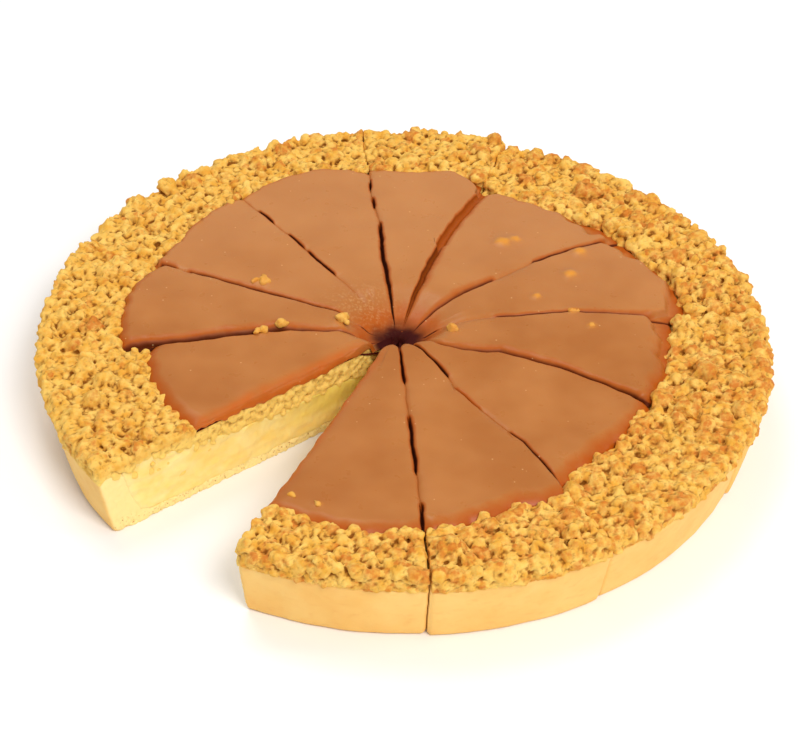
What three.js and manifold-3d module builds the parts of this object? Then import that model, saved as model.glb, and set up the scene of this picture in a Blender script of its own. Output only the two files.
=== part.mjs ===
// A round apple cake with a caramel top and a heaped crumble rim, cut into slices, one slice gone.
// Units are millimetres, +Z is up, and the base rests on z = 0.
// Headings are in degrees from the front of the cake (-Y) towards its right (+X).

import * as THREE from "three";
import { mergeVertices } from "three/addons/utils/BufferGeometryUtils.js";
import Module from "manifold-3d";

const wasm = await Module();
wasm.setup();

// Driving dimensions.
const rimRadius = 140; // outside of the pastry wall at its top
const bottomRadius = 134.8; // outside of the pastry wall at the foot
const footRounding = 2.6;
const wallHeight = 26;
const wallThickness = 10;
const baseThickness = 4;
const fillingHeight = 19.3; // at the middle of the cake
const fillingRise = 8.7; // how much higher it stands close to the wall
const crumbleFloor = 30; // top of the crumble where the caramel covers it
const heapHeight = 33.6; // top of the crumble core on the rim, without its lumps
const caramelTop = 35.3;
const kerf = 1.0; // gap left by the knife
const caramelKerf = 1.9; // the caramel has drawn back a little from the cut
const layerGap = 0.35; // clearance between layers that rest on each other
const pitRadius = 5; // hole where the slice tips meet
const tipRounding = 2; // the corners of a tip stand back this much further
const cutCentre = new THREE.Vector2(-2.6, -0.5); // the knife missed the middle by this much
const headingSteps = 5; // facets across one slice

// Where the knife went, and how far each slice has slid outwards since.
const cutHeadings = [337, 365.6, 393.6, 426.5, 457.7, 488.2, 521.7, 547, 576.6, 607.7, 638.6, 669.5];
const slides = [0, 1, 0, 1.2, 1, 1, 1, 0.4, 0, 0, 0];

// Radius of the caramel's edge at four evenly spaced headings of each slice.
const caramelEdges = [
  [117, 119, 120, 118],
  [118, 114, 111, 114],
  [108, 102, 102, 103],
  [102, 104, 103, 107],
  [112, 113, 109, 110],
  [110, 106, 104, 105],
  [109, 113, 109, 111],
  [109, 116, 115, 112],
  [112, 112, 108, 110],
  [108, 111, 112, 110],
  [99, 101, 101, 98],
];

// The caramel hangs over the two faces of the missing slice, between these radii.
const dripInner = 21;
const dripOuter = 92;
const dripStations = [22, 44, 70, dripOuter];
const dripDepth = 4.6;
const dripThickness = 1.5;
const dripFade = [8, 30]; // between these radii the overhang grows to its full thickness

// Crumble lumps: the large ones that stand out, then two sizes scattered between them.
const largeLumps = [
  // heading, radius, width
  { heading: 8.9, radius: 126.5, width: 11.5 },
  { heading: 40.6, radius: 112, width: 8 },
  { heading: 46, radius: 111, width: 8.5 },
  { heading: 67, radius: 115, width: 10 },
  { heading: 80, radius: 116, width: 10.5 },
  { heading: 116, radius: 120, width: 10 },
  { heading: 123.6, radius: 122, width: 11 },
  { heading: 142, radius: 124, width: 10.5 },
  { heading: 153.9, radius: 117, width: 9 },
  { heading: 178.5, radius: 136, width: 9 },
  { heading: 201.7, radius: 136, width: 10 },
  { heading: 208, radius: 129, width: 9 },
  { heading: 254, radius: 122, width: 11 },
  { heading: 271.4, radius: 121, width: 10 },
  { heading: 288, radius: 118, width: 9 },
  { heading: 345, radius: 125, width: 9 },
];
const lumpKinds = [
  { perSlice: 6, width: 9, spread: 1 },
  { perSlice: 6, width: 7, spread: 0.8 },
];
const lumpReach = 143; // no lump stands out further than this
const lumpLift = 0.14; // how far a lump's middle stands above the heap, as a share of its width
const lumpPacking = 0.85; // lumps may overlap to this share of their widths
const lumpTries = 60;

// Between the lumps the heap is rough, with bumps the size of small crumbs.
const bumpsAcross = 10;
const bumpRise = [-0.5, 2.3];
const bumpWander = 1.1;
const heapRows = 6;
const lumpProud = 0.25; // how far lumps stand out of a slice's cut faces
const seed = 20417;

const shades = {
  crust: { color: 0xf2c777, roughness: 0.75 },
  filling: { color: 0xf3d98a, roughness: 0.45 },
  crumble: { color: 0xe6bb62, roughness: 0.85 },
  caramel: { color: 0xb87a42, roughness: 0.25 },
};

const lerp = THREE.MathUtils.lerp;
const clamp = THREE.MathUtils.clamp;
const smooth = THREE.MathUtils.smoothstep;

function direction(heading) {
  const angle = THREE.MathUtils.degToRad(heading);
  return new THREE.Vector2(Math.sin(angle), -Math.cos(angle));
}

// Small seeded generator, so that every build draws the same lumps.
function makeDraw(start) {
  let state = start;
  return () => {
    state = (state * 1664525 + 1013904223) % 4294967296;
    return state / 4294967296;
  };
}

// One slice: the headings of its two faces and the tip from which both faces run.
function makeSlice(index, gap) {
  const start = cutHeadings[index];
  const end = cutHeadings[index + 1];
  const middle = direction((start + end) / 2);
  const halfAngle = THREE.MathUtils.degToRad((end - start) / 2);
  const tip = middle.clone().multiplyScalar(gap / 2 / Math.sin(halfAngle)).add(cutCentre);
  return { index, start, end, tip, isFirst: index === 0, isLast: index === cutHeadings.length - 2 };
}

// The point at a radius from the cake's centre, on the line that leaves the slice's tip.
function pointAt(slice, share, radius, z, aside = 0) {
  const ray = direction(lerp(slice.start, slice.end, share));
  const along = slice.tip.dot(ray);
  const reach = -along + Math.sqrt(along * along - slice.tip.lengthSq() + radius * radius);
  const x = slice.tip.x + reach * ray.x - aside * ray.y;
  const y = slice.tip.y + reach * ray.y + aside * ray.x;
  return new THREE.Vector3(x, y, z);
}

function tipRadius(share) {
  return pitRadius + tipRounding * (2 * share - 1) ** 2;
}

function caramelEdge(slice, share) {
  const edges = caramelEdges[slice.index];
  const place = clamp(share, 0, 1) * (edges.length - 1);
  const low = Math.min(Math.floor(place), edges.length - 2);
  return lerp(edges[low], edges[low + 1], place - low);
}

// Closes a row of equal sections, each a loop of points, into one solid with flat ends.
function skin(sections) {
  const size = sections[0].points.length;
  const positions = sections.flatMap((section) => section.points.flatMap((point) => point.toArray()));
  const faces = [];
  for (let row = 0; row < sections.length - 1; row++) {
    for (let i = 0; i < size; i++) {
      const j = (i + 1) % size;
      const a = row * size + i;
      const b = row * size + j;
      faces.push(a, a + size, b, b, a + size, b + size);
    }
  }
  const last = (sections.length - 1) * size;
  for (const [a, b, c] of THREE.ShapeUtils.triangulateShape(sections[0].outline, [])) {
    faces.push(a, b, c);
  }
  for (const [a, b, c] of THREE.ShapeUtils.triangulateShape(sections.at(-1).outline, [])) {
    faces.push(last + a, last + c, last + b);
  }
  const geometry = new THREE.BufferGeometry();
  geometry.setAttribute("position", new THREE.Float32BufferAttribute(positions, 3));
  geometry.setIndex(faces);
  return geometry;
}

// A section is an outline of [radius, height] pairs, taken counter-clockwise from the tip's foot.
function section(slice, share, outline, aside = 0) {
  return {
    points: outline.map(([radius, z]) => pointAt(slice, share, radius, z, aside * dripShare(radius))),
    outline: outline.map(([radius, z]) => new THREE.Vector2(radius, z)),
  };
}

function dripShare(radius) {
  return lerp(0.15, 1, smooth(radius, ...dripFade));
}

function sweep(slice, outlineAt, steps = headingSteps) {
  const sections = [];
  for (let step = 0; step <= steps; step++) {
    const share = step / steps;
    sections.push(section(slice, share, outlineAt(share)));
  }
  return skin(sections);
}

// Pastry: a flat base whose edge turns up into a leaning wall with a rounded foot and rim.
const wallInside = rimRadius - wallThickness;
const wallOutline = [
  [bottomRadius - footRounding, 0],
  [bottomRadius - 0.5, 1],
  [bottomRadius + 0.4, 3.2],
  [rimRadius - 0.4, wallHeight - 2.5],
  [rimRadius, wallHeight],
  [rimRadius - 3, wallHeight + 1.6],
  [wallInside + 1, wallHeight + 1.2],
  [wallInside - 0.7, wallHeight - 0.5],
  [wallInside - 3.7, 14],
  [wallInside - 7.5, baseThickness + 2.4],
  [wallInside - 12, baseThickness],
];

function crustOutline(share) {
  const tip = tipRadius(share);
  return [[tip, 0], ...wallOutline, [tip, baseThickness]];
}

// Apple filling: low in the middle, rising towards the wall it leans on.
const fillingTop = fillingHeight + fillingRise;
const fillingCrest = [
  [wallInside - 1.1, fillingTop - 1.6],
  [124, fillingTop - 0.6],
  [115, fillingTop],
  [95, fillingHeight + fillingRise * 0.48],
  [70, fillingHeight + fillingRise * 0.12],
];

function fillingOutline(share) {
  const tip = tipRadius(share);
  return [
    [tip, baseThickness + layerGap],
    [wallInside - 12.1, baseThickness + layerGap],
    [wallInside - 7.9, baseThickness + 2.4 + layerGap],
    [wallInside - 4.05, 14.1],
    [wallInside - 1.05, wallHeight - 0.5],
    ...fillingCrest,
    [tip, fillingHeight],
  ];
}

// Crumble: a sheet over the filling that swells into a rough heap on the pastry wall.
const crumbleOnWall = [
  [wallInside - 1.2, wallHeight + 0.9],
  [wallInside + 0.8, wallHeight + 1.2 + layerGap + 0.1],
  [rimRadius - 3, wallHeight + 1.6 + layerGap + 0.05],
  [rimRadius + 0.3, wallHeight + layerGap + 0.1],
];

function crumbleOutline(slice, share, draw) {
  const tip = tipRadius(share);
  const edge = caramelEdge(slice, share);
  const underside = fillingCrest.slice(2).reverse().map(([radius, z]) => [radius, z + layerGap]);
  const rough = (radius) => {
    const bump = lerp(...bumpRise, draw());
    return [radius + lerp(-bumpWander, bumpWander, draw()), heapTop(slice, share, radius) + bump];
  };
  const heap = [];
  for (let i = 0; i < heapRows; i++) {
    heap.push(rough(lerp(rimRadius - 2, edge + 5, i / (heapRows - 1))));
  }
  return [
    [tip, fillingHeight + layerGap],
    ...underside,
    ...crumbleOnWall,
    [rimRadius + 1.2, wallHeight + 1.5],
    [rimRadius + 0.6 + lerp(-0.6, 0.8, draw()), wallHeight + 4 + lerp(0, 1.2, draw())],
    ...heap,
    [edge + 0.9, crumbleFloor + 0.1],
    [tip, crumbleFloor],
  ];
}

// Height of the crumble core's upper side, where lumps are set.
function heapTop(slice, share, radius) {
  const edge = caramelEdge(slice, share);
  if (radius > rimRadius - 7) {
    return lerp(heapHeight, wallHeight + 5.5, (radius - rimRadius + 7) / 7);
  }
  return lerp(crumbleFloor, heapHeight, smooth(radius, edge, edge + 9));
}

function bareGeometry(geometry) {
  geometry.deleteAttribute("normal");
  geometry.deleteAttribute("uv");
  return geometry;
}

// Turns a geometry into a solid that can be joined and cut, and back again.
function toSolid(geometry) {
  const merged = mergeVertices(bareGeometry(geometry), 1e-4);
  const mesh = new wasm.Mesh({
    numProp: 3,
    vertProperties: new Float32Array(merged.attributes.position.array),
    triVerts: new Uint32Array(merged.index.array),
  });
  return new wasm.Manifold(mesh);
}

function toGeometry(solid) {
  const mesh = solid.getMesh();
  const geometry = new THREE.BufferGeometry();
  geometry.setAttribute("position", new THREE.Float32BufferAttribute(mesh.vertProperties, 3));
  geometry.setIndex(new THREE.Uint32BufferAttribute(mesh.triVerts, 1));
  return geometry;
}

// The wedge of space between a slice's two faces, open upwards, used to trim its lumps.
function wedgeSolid(slice) {
  const below = 1;
  const above = 60;
  const beyond = rimRadius * 1.2;
  const corners = [pitRadius, beyond, beyond, pitRadius].map((radius, i) => {
    return pointAt(slice, i < 2 ? 0 : 1, radius, 0);
  });
  const shape = new THREE.Shape(corners.map((corner) => new THREE.Vector2(corner.x, corner.y)));
  const geometry = new THREE.ExtrudeGeometry(shape, { depth: above + below, bevelEnabled: false });
  geometry.translate(0, 0, -below);
  return toSolid(geometry);
}

// One knobbly lump, its corners pushed in and out and its whole turned at random.
function lumpGeometry(lump, draw) {
  const geometry = mergeVertices(bareGeometry(lump.shape), 1e-3);
  const turn = new THREE.Euler(draw() * Math.PI, draw() * Math.PI, draw() * Math.PI);
  const corner = new THREE.Vector3();
  const place = geometry.attributes.position;
  for (let i = 0; i < place.count; i++) {
    corner.fromBufferAttribute(place, i).multiplyScalar(lerp(0.84, 1.06, draw())).applyEuler(turn);
    place.setXYZ(i, corner.x, corner.y, corner.z * 0.9);
  }
  geometry.translate(lump.centre.x, lump.centre.y, lump.centre.z);
  return geometry;
}

// Keeps a lump clear of the caramel inside it, of the rim outside it and of the filling below it.
function settleLump(slice, share, radius, shape, width) {
  const edge = caramelEdge(slice, share);
  const clearOfCaramel = edge + 1 + width / 2;
  const settled = clamp(radius, clearOfCaramel, lumpReach - width / 2);
  const floor = Math.max(fillingTop, wallHeight + 1.6) + layerGap + width * 0.5;
  const height = Math.max(heapTop(slice, share, settled) + width * lumpLift, floor);
  const centre = pointAt(slice, share, settled, height);
  return { centre, width, shape };
}

function lumpsOf(slice, draw) {
  const lumps = [];
  const addLump = (lump) => {
    const clash = lumps.some((other) => {
      const apart = Math.hypot(other.centre.x - lump.centre.x, other.centre.y - lump.centre.y);
      return apart < ((other.width + lump.width) / 2) * lumpPacking;
    });
    if (!clash) {
      lumps.push(lump);
    }
    return !clash;
  };
  for (const { heading, radius, width } of largeLumps) {
    const turns = [heading, heading + 360].find((angle) => angle > slice.start && angle < slice.end);
    if (turns !== undefined) {
      const share = (turns - slice.start) / (slice.end - slice.start);
      addLump(settleLump(slice, share, radius, new THREE.IcosahedronGeometry(width / 2), width));
    }
  }
  for (const kind of lumpKinds) {
    let placed = 0;
    for (let attempt = 0; attempt < lumpTries * kind.perSlice && placed < kind.perSlice; attempt++) {
      const share = lerp(0.02, 0.98, draw());
      const edge = caramelEdge(slice, share);
      const radius = Math.sqrt(lerp(edge ** 2, lumpReach ** 2, draw()));
      const width = kind.width + (draw() - 0.5) * 2 * kind.spread;
      if (addLump(settleLump(slice, share, radius, new THREE.OctahedronGeometry(width / 2), width))) {
        placed++;
      }
    }
  }
  return lumps;
}

function crumbleGeometry(slice, draw) {
  const outlineAt = (share) => crumbleOutline(slice, share, draw);
  const room = wedgeSolid(makeSlice(slice.index, kerf - 2 * lumpProud));
  let solid = toSolid(sweep(slice, outlineAt, bumpsAcross));
  for (const lump of lumpsOf(slice, draw)) {
    solid = solid.add(toSolid(lumpGeometry(lump, draw)).intersect(room));
  }
  return toGeometry(solid);
}

// Caramel: a poured sheet with soft lips, thicker in the middle and thin at the pit.
function caramelOutline(slice, share, lip, drip) {
  const tip = tipRadius(share) - 0.6;
  const edge = caramelEdge(slice, share);
  const foot = crumbleFloor + layerGap;
  const top = (height) => lerp(foot + 1.2, height, lip);
  const hang = (radius) => {
    const inside = smooth(radius, dripInner, dripInner + 26);
    const outside = 1 - smooth(radius, dripOuter - 24, dripOuter);
    return foot - drip * dripDepth * inside * outside;
  };
  const stations = slice.isFirst || slice.isLast ? dripStations : [];
  return [
    ...[tip, ...stations].map((radius) => [radius, hang(radius)]),
    [edge - 1.4, foot],
    [edge, foot + 1.2 * Math.max(lip, 0.6)],
    [edge - 1, top(caramelTop - 1.9)],
    [edge - 4.5, top(caramelTop - 0.5)],
    [edge - 18, top(caramelTop)],
    [28, top(caramelTop - 0.4)],
    [tip + 2.5, top(caramelTop - 1.2)],
    [tip, top(caramelTop - 2.9)],
  ];
}

function caramelGeometry(index) {
  const slice = makeSlice(index, caramelKerf);
  const plain = (share, lip) => section(slice, share, caramelOutline(slice, share, lip, 0));
  const sections = [
    plain(0, 0.45),
    plain(0.07, 0.94),
    plain(1 / 3, 1),
    plain(2 / 3, 1),
    plain(0.93, 0.94),
    plain(1, 0.45),
  ];
  const faceOffset = (caramelKerf - kerf) / 2 + layerGap;
  const overhang = (share, side) => {
    const hanging = (aside, lip, drip) => {
      return section(slice, share, caramelOutline(slice, share, lip, drip), side * aside);
    };
    return [
      hanging(faceOffset, 0.9, 0),
      hanging(faceOffset + 0.05, 0.88, 0.9),
      hanging(faceOffset + dripThickness, 0.5, 1),
    ];
  };
  if (slice.isFirst) {
    sections.splice(0, 1, ...overhang(0, -1).reverse());
  }
  if (slice.isLast) {
    sections.splice(-1, 1, ...overhang(1, 1));
  }
  return skin(sections);
}

function addMesh(parent, name, geometry, shade, slide) {
  const material = new THREE.MeshStandardMaterial({ metalness: 0, ...shade });
  const mesh = new THREE.Mesh(geometry, material);
  mesh.name = name;
  mesh.position.set(slide.x, slide.y, 0);
  parent.add(mesh);
}

const cake = new THREE.Group();
const draw = makeDraw(seed);
for (let index = 0; index < cutHeadings.length - 1; index++) {
  const slice = makeSlice(index, kerf);
  const slide = direction((slice.start + slice.end) / 2).multiplyScalar(slides[index]);
  const number = String(index + 1).padStart(2, "0");
  addMesh(cake, `crust_${number}`, sweep(slice, crustOutline), shades.crust, slide);
  addMesh(cake, `filling_${number}`, sweep(slice, fillingOutline), shades.filling, slide);
  addMesh(cake, `crumble_${number}`, crumbleGeometry(slice, draw), shades.crumble, slide);
  addMesh(cake, `caramel_${number}`, caramelGeometry(index), shades.caramel, slide);
}

// The origin is below the middle of the whole cake.
const middle = new THREE.Box3().setFromObject(cake).getCenter(new THREE.Vector3());
cake.position.set(-middle.x, -middle.y, 0);

export default cake;
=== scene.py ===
import math
from collections import namedtuple

import bmesh
import bpy
import numpy as np
from mathutils import Matrix, Vector
from mathutils.geometry import tessellate_polygon


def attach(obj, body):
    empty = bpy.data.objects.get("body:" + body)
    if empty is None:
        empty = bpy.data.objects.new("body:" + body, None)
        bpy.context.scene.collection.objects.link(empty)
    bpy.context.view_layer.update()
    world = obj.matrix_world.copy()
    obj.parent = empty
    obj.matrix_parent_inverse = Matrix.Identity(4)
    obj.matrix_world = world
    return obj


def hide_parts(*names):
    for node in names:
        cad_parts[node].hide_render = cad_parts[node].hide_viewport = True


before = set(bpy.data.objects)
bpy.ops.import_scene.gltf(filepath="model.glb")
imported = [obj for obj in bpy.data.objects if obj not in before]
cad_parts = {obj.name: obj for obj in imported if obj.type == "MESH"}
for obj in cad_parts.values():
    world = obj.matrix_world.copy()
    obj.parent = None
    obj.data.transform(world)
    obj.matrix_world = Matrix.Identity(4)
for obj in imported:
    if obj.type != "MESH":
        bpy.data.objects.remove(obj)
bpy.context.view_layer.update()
print("frame loaded:", len(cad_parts), "solids")

mm = 0.001

# How the cake was cut: the same values as the solids have.
cake = {
    "axis": (-1.13, 0.048),  # the cake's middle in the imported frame
    "cutCentre": (-2.6, -0.5),  # where the knife lines cross, from the cake's middle
    "headings": [337, 365.6, 393.6, 426.5, 457.7, 488.2, 521.7, 547, 576.6, 607.7, 638.6, 669.5],
    "slides": [0, 1, 0, 1.2, 1, 1, 1, 0.4, 0, 0, 0],  # how far each portion has slid outwards
    "gaps": [0.6, 0.8, 0.3, 0.3, 0.3, 0.3, 0.3, 0.6, 0.3, 0.3, 0.6, 0.6],  # width of each cut
    "rimRadius": 140,
    "base": 4,  # thickness of the pastry under the filling
    "pit": 5,  # the tips stop this far from the cake's middle
    "tipRounding": 2,
    "crumbleFloor": 30,  # top of the crumble under the caramel
    "heapHeight": 33.6,
    # top of the filling, as radius and height
    "crest": [(5, 19.3), (70, 20.3), (95, 23.5), (115, 28), (124, 27.4), (128.9, 26.4)],
}
axis = np.array(cake["axis"])
cutCentre = np.array(cake["cutCentre"])
sliceCount = len(cake["headings"]) - 1

# Radius of the caramel's edge at four evenly spaced headings of each portion.
caramelEdges = [
    (117, 119, 120, 118), (118, 114, 111, 114), (108, 102, 102, 103), (102, 104, 103, 107),
    (112, 113, 109, 110), (110, 106, 104, 105), (109, 113, 109, 111), (109, 116, 115, 112),
    (112, 112, 108, 110), (108, 111, 112, 110), (99, 101, 101, 98),
]


def direction(heading):
    angle = np.radians(heading)
    return np.stack([np.sin(angle), -np.cos(angle)], axis=-1)


def across(heading):
    angle = np.radians(heading)
    return np.stack([np.cos(angle), np.sin(angle)], axis=-1)


def smooth(value, low, high):
    share = np.clip((np.asarray(value, float) - low) / (high - low), 0, 1)
    return share * share * (3 - 2 * share)


def lerp(a, b, share):
    return a + (b - a) * share


def tableAt(values, table):
    return np.interp(values, *zip(*table))


noiseDraw = np.random.default_rng(71)
noiseOrder = noiseDraw.permutation(256)
noiseSlopes = noiseDraw.normal(size=(256, 3))
noiseSlopes /= np.linalg.norm(noiseSlopes, axis=1)[:, None]


def softNoise(points, grain, shift=0):
    # gradient noise between about -1 and 1, grain is its size in millimetres
    place = np.asarray(points, float) / grain + shift * 13.37
    cell = np.floor(place).astype(np.int64)
    part = place - cell
    fade = part ** 3 * (part * (part * 6 - 15) + 10)
    total = np.zeros(len(place))
    for corner in np.ndindex(2, 2, 2):
        key = noiseOrder[(cell[:, 0] + corner[0]) & 255]
        key = noiseOrder[(key + cell[:, 1] + corner[1]) & 255]
        key = noiseOrder[(key + cell[:, 2] + corner[2]) & 255]
        rise = np.einsum("ij,ij->i", noiseSlopes[key], part - corner)
        weight = np.prod(np.where(np.array(corner) == 1, fade, 1 - fade), axis=1)
        total += weight * rise
    return total * 1.7


def flat(x, y, z=0.0):
    x = np.asarray(x, float)
    return np.stack([x, np.asarray(y, float) + 0 * x, np.zeros_like(x) + z], axis=-1)


def meshOf(name, points, faceSets):
    # faceSets is a list of arrays of equal faces
    mesh = bpy.data.meshes.new(name)
    sets = [np.asarray(faces, np.int32) for faces in faceSets]
    corners = np.concatenate([faces.ravel() for faces in sets])
    counts = np.concatenate([np.full(len(faces), faces.shape[1]) for faces in sets])
    starts = np.concatenate([[0], np.cumsum(counts)[:-1]]).astype(np.int32)
    mesh.vertices.add(len(points))
    mesh.vertices.foreach_set("co", np.asarray(points, np.float32).ravel())
    mesh.loops.add(len(corners))
    mesh.loops.foreach_set("vertex_index", corners)
    mesh.polygons.add(len(counts))
    mesh.polygons.foreach_set("loop_start", starts)
    mesh.update(calc_edges=True)
    return mesh


def makePiece(name, points, faceSets, shades, material, replaces):
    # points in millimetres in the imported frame, shades a value for every point
    mesh = meshOf(name, np.asarray(points) * mm, faceSets)
    mesh.shade_smooth()
    for shade, values in shades.items():
        layer = mesh.attributes.new(shade, "FLOAT", "POINT")
        layer.data.foreach_set("value", np.asarray(values, np.float32))
    mesh.materials.append(material)
    piece = bpy.data.objects.new(name, mesh)
    bpy.context.scene.collection.objects.link(piece)
    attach(piece, "root")
    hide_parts(*replaces)
    return piece


def gridFaces(rows, columns):
    index = np.arange(rows * columns).reshape(rows, columns)
    return np.stack([index[:-1, :-1], index[1:, :-1], index[1:, 1:], index[:-1, 1:]], axis=-1).reshape(-1, 4)


def fuse(points, triangles, grain):
    # closed shapes that overlap become one skin of even quads
    mesh = meshOf("toFuse", points, [triangles])
    shape = bpy.data.objects.new("toFuse", mesh)
    bpy.context.scene.collection.objects.link(shape)
    remesh = shape.modifiers.new("fuse", "REMESH")
    remesh.mode = "VOXEL"
    remesh.voxel_size = grain
    fused = shape.evaluated_get(bpy.context.evaluated_depsgraph_get()).to_mesh()
    skin = np.empty(len(fused.vertices) * 3, np.float32)
    fused.vertices.foreach_get("co", skin)
    quads = np.empty(len(fused.loops), np.int32)
    fused.loops.foreach_get("vertex_index", quads)
    shape.to_mesh_clear()
    bpy.data.objects.remove(shape)
    bpy.data.meshes.remove(mesh)
    return skin.reshape(-1, 3).astype(float), quads.reshape(-1, 4)


def normalsOf(points, quads):
    corners = points[quads]
    facing = np.cross(corners[:, 2] - corners[:, 0], corners[:, 3] - corners[:, 1])
    normals = np.zeros_like(points)
    for k in range(4):
        for axisIndex in range(3):
            normals[:, axisIndex] += np.bincount(quads[:, k], facing[:, axisIndex], len(points))
    return normals / np.maximum(np.linalg.norm(normals, axis=1), 1e-9)[:, None]


def relaxed(points, quads, rounds):
    # the same skin with its small relief smoothed away
    count = np.zeros(len(points))
    for k in range(4):
        count += 2 * np.bincount(quads[:, k], minlength=len(points))
    for _ in range(rounds):
        total = np.zeros_like(points)
        for k in range(4):
            for neighbour in (quads[:, (k + 1) % 4], quads[:, (k + 3) % 4]):
                for axisIndex in range(3):
                    total[:, axisIndex] += np.bincount(quads[:, k], points[neighbour, axisIndex], len(points))
        points = lerp(points, total / np.maximum(count, 1)[:, None], 0.6)
    return points


def ballMesh(level):
    ball = bmesh.new()
    bmesh.ops.create_icosphere(ball, subdivisions=level, radius=1)
    points = np.array([corner.co[:] for corner in ball.verts])
    triangles = np.array([[corner.index for corner in face.verts] for face in ball.faces])
    ball.free()
    return points, triangles


# One side of a portion: half of the cut's gap, the sign that points inwards, and the knife line's number.
Face = namedtuple("Face", "heading gap sign knife isOpen")


class Portion:
    def __init__(self, index):
        self.index = index
        self.name = f"{index + 1:02d}"
        self.start, self.end = cake["headings"][index:index + 2]
        self.span = self.end - self.start
        self.slide = direction((self.start + self.end) / 2) * cake["slides"][index]
        gaps = [gap / 2 for gap in cake["gaps"][index:index + 2]]
        self.faces = [Face(self.start, gaps[0], 1, index, index == 0),
                      Face(self.end, gaps[1], -1, index + 1, index == sliceCount - 1)]
        self.openFace = next((face for face in self.faces if face.isOpen), None)
        half = math.radians(self.span / 2)
        self.tip = cutCentre + direction((self.start + self.end) / 2) * (sum(gaps) / 2) / math.sin(half)

    def share(self, x, y):
        heading = np.degrees(np.arctan2(x - self.tip[0], -(y - self.tip[1])))
        return ((heading - self.start + 180) % 360 - 180) / self.span

    def depth(self, points, face):
        # how far points stand inside a cut face
        offset = points[:, :2] - cutCentre
        return face.sign * (offset @ across(face.heading)) - face.gap

    def place(self, share, radius):
        # point on the line that leaves the tip, at a radius from the cake's middle
        ray = direction(self.start + self.span * np.asarray(share, float))
        along = ray @ self.tip
        reach = -along + np.sqrt(np.maximum(along ** 2 - self.tip @ self.tip + np.asarray(radius) ** 2, 0))
        return self.tip + ray * reach[..., None]

    def edge(self, share):
        edges = caramelEdges[self.index]
        return np.interp(np.clip(share, 0, 1), np.linspace(0, 1, len(edges)), edges)

    def settle(self, points):
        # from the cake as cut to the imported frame
        moved = np.array(points, float)
        moved[:, :2] += self.slide + axis
        return moved


portions = [Portion(index) for index in range(sliceCount)]


view = {
    "elevation": 38.735,
    "distance": 1000,
    "target": (-1.394, 12.588),  # on the floor, from the cake's middle
    "roll": 1.2525,
    "focalPixels": 2525.716,
    "imageWidth": 798,
}


def addCamera():
    elevation = math.radians(view["elevation"])
    place = Vector((0, -math.cos(elevation), math.sin(elevation))) * view["distance"]
    ahead = (Vector((*view["target"], 0)) - place).normalized()
    right = ahead.cross(Vector((0, 0, 1))).normalized()
    up = right.cross(ahead)
    roll = math.radians(view["roll"])
    right, up = right * math.cos(roll) + up * math.sin(roll), up * math.cos(roll) - right * math.sin(roll)
    lens = bpy.data.cameras.new("camera")
    lens.sensor_width = 36
    lens.lens = 36 * view["focalPixels"] / view["imageWidth"]
    lens.clip_start, lens.clip_end = 0.05, 20
    camera = bpy.data.objects.new("camera", lens)
    turn = Matrix((right, up, -ahead)).transposed().to_4x4()
    place = (place + Vector((*cake["axis"], 0))) * mm
    camera.matrix_world = Matrix.Translation(place) @ turn
    bpy.context.scene.collection.objects.link(camera)
    bpy.context.scene.camera = camera


studio = {
    "sky": 0.5,
    # name: place in metres, width and height of the lamp, watts, colour
    "lights": {
        "key": ((0.7, -1.5, 2.0), (0.9, 0.9), 41.0, (1.0, 0.985, 0.965)),
        "back": ((-0.5, 0.8, 2.1), (1.0, 1.0), 14.0, (1.0, 0.985, 0.965)),
        "streak": ((1.0, -0.1, 0.7), (0.08, 0.6), 1.2, (1.0, 1.0, 1.0)),
    },
    "floor": (0.93, 0.93, 0.93),
}


def addStudio():
    scene = bpy.context.scene
    world = bpy.data.worlds.new("studio")
    world.use_nodes = True
    sky = world.node_tree.nodes["Background"]
    sky.inputs["Color"].default_value = (1, 1, 1, 1)
    sky.inputs["Strength"].default_value = studio["sky"]
    scene.world = world
    for name, (place, (width, height), watts, colour) in studio["lights"].items():
        lamp = bpy.data.lights.new(name, "AREA")
        lamp.shape = "RECTANGLE"
        lamp.size, lamp.size_y = width, height
        lamp.energy = watts
        lamp.color = colour
        light = bpy.data.objects.new(name, lamp)
        light.location = place
        light.rotation_euler = (-Vector(place)).to_track_quat("-Z", "Y").to_euler()
        scene.collection.objects.link(light)
    bpy.ops.mesh.primitive_plane_add(size=8)
    floor = bpy.context.object
    floor.name = "floor"
    paint = bpy.data.materials.new("paleFloor")
    paint.use_nodes = True
    shader = paint.node_tree.nodes["Principled BSDF"]
    shader.inputs["Base Color"].default_value = (*studio["floor"], 1)
    shader.inputs["Roughness"].default_value = 0.9
    floor.data.materials.append(paint)
    scene.view_settings.view_transform = "Standard"


def linear(*shade):
    values = [channel / 255 for channel in shade]
    return tuple(c / 12.92 if c <= 0.04045 else ((c + 0.055) / 1.055) ** 2.4 for c in values) + (1.0,)


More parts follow.
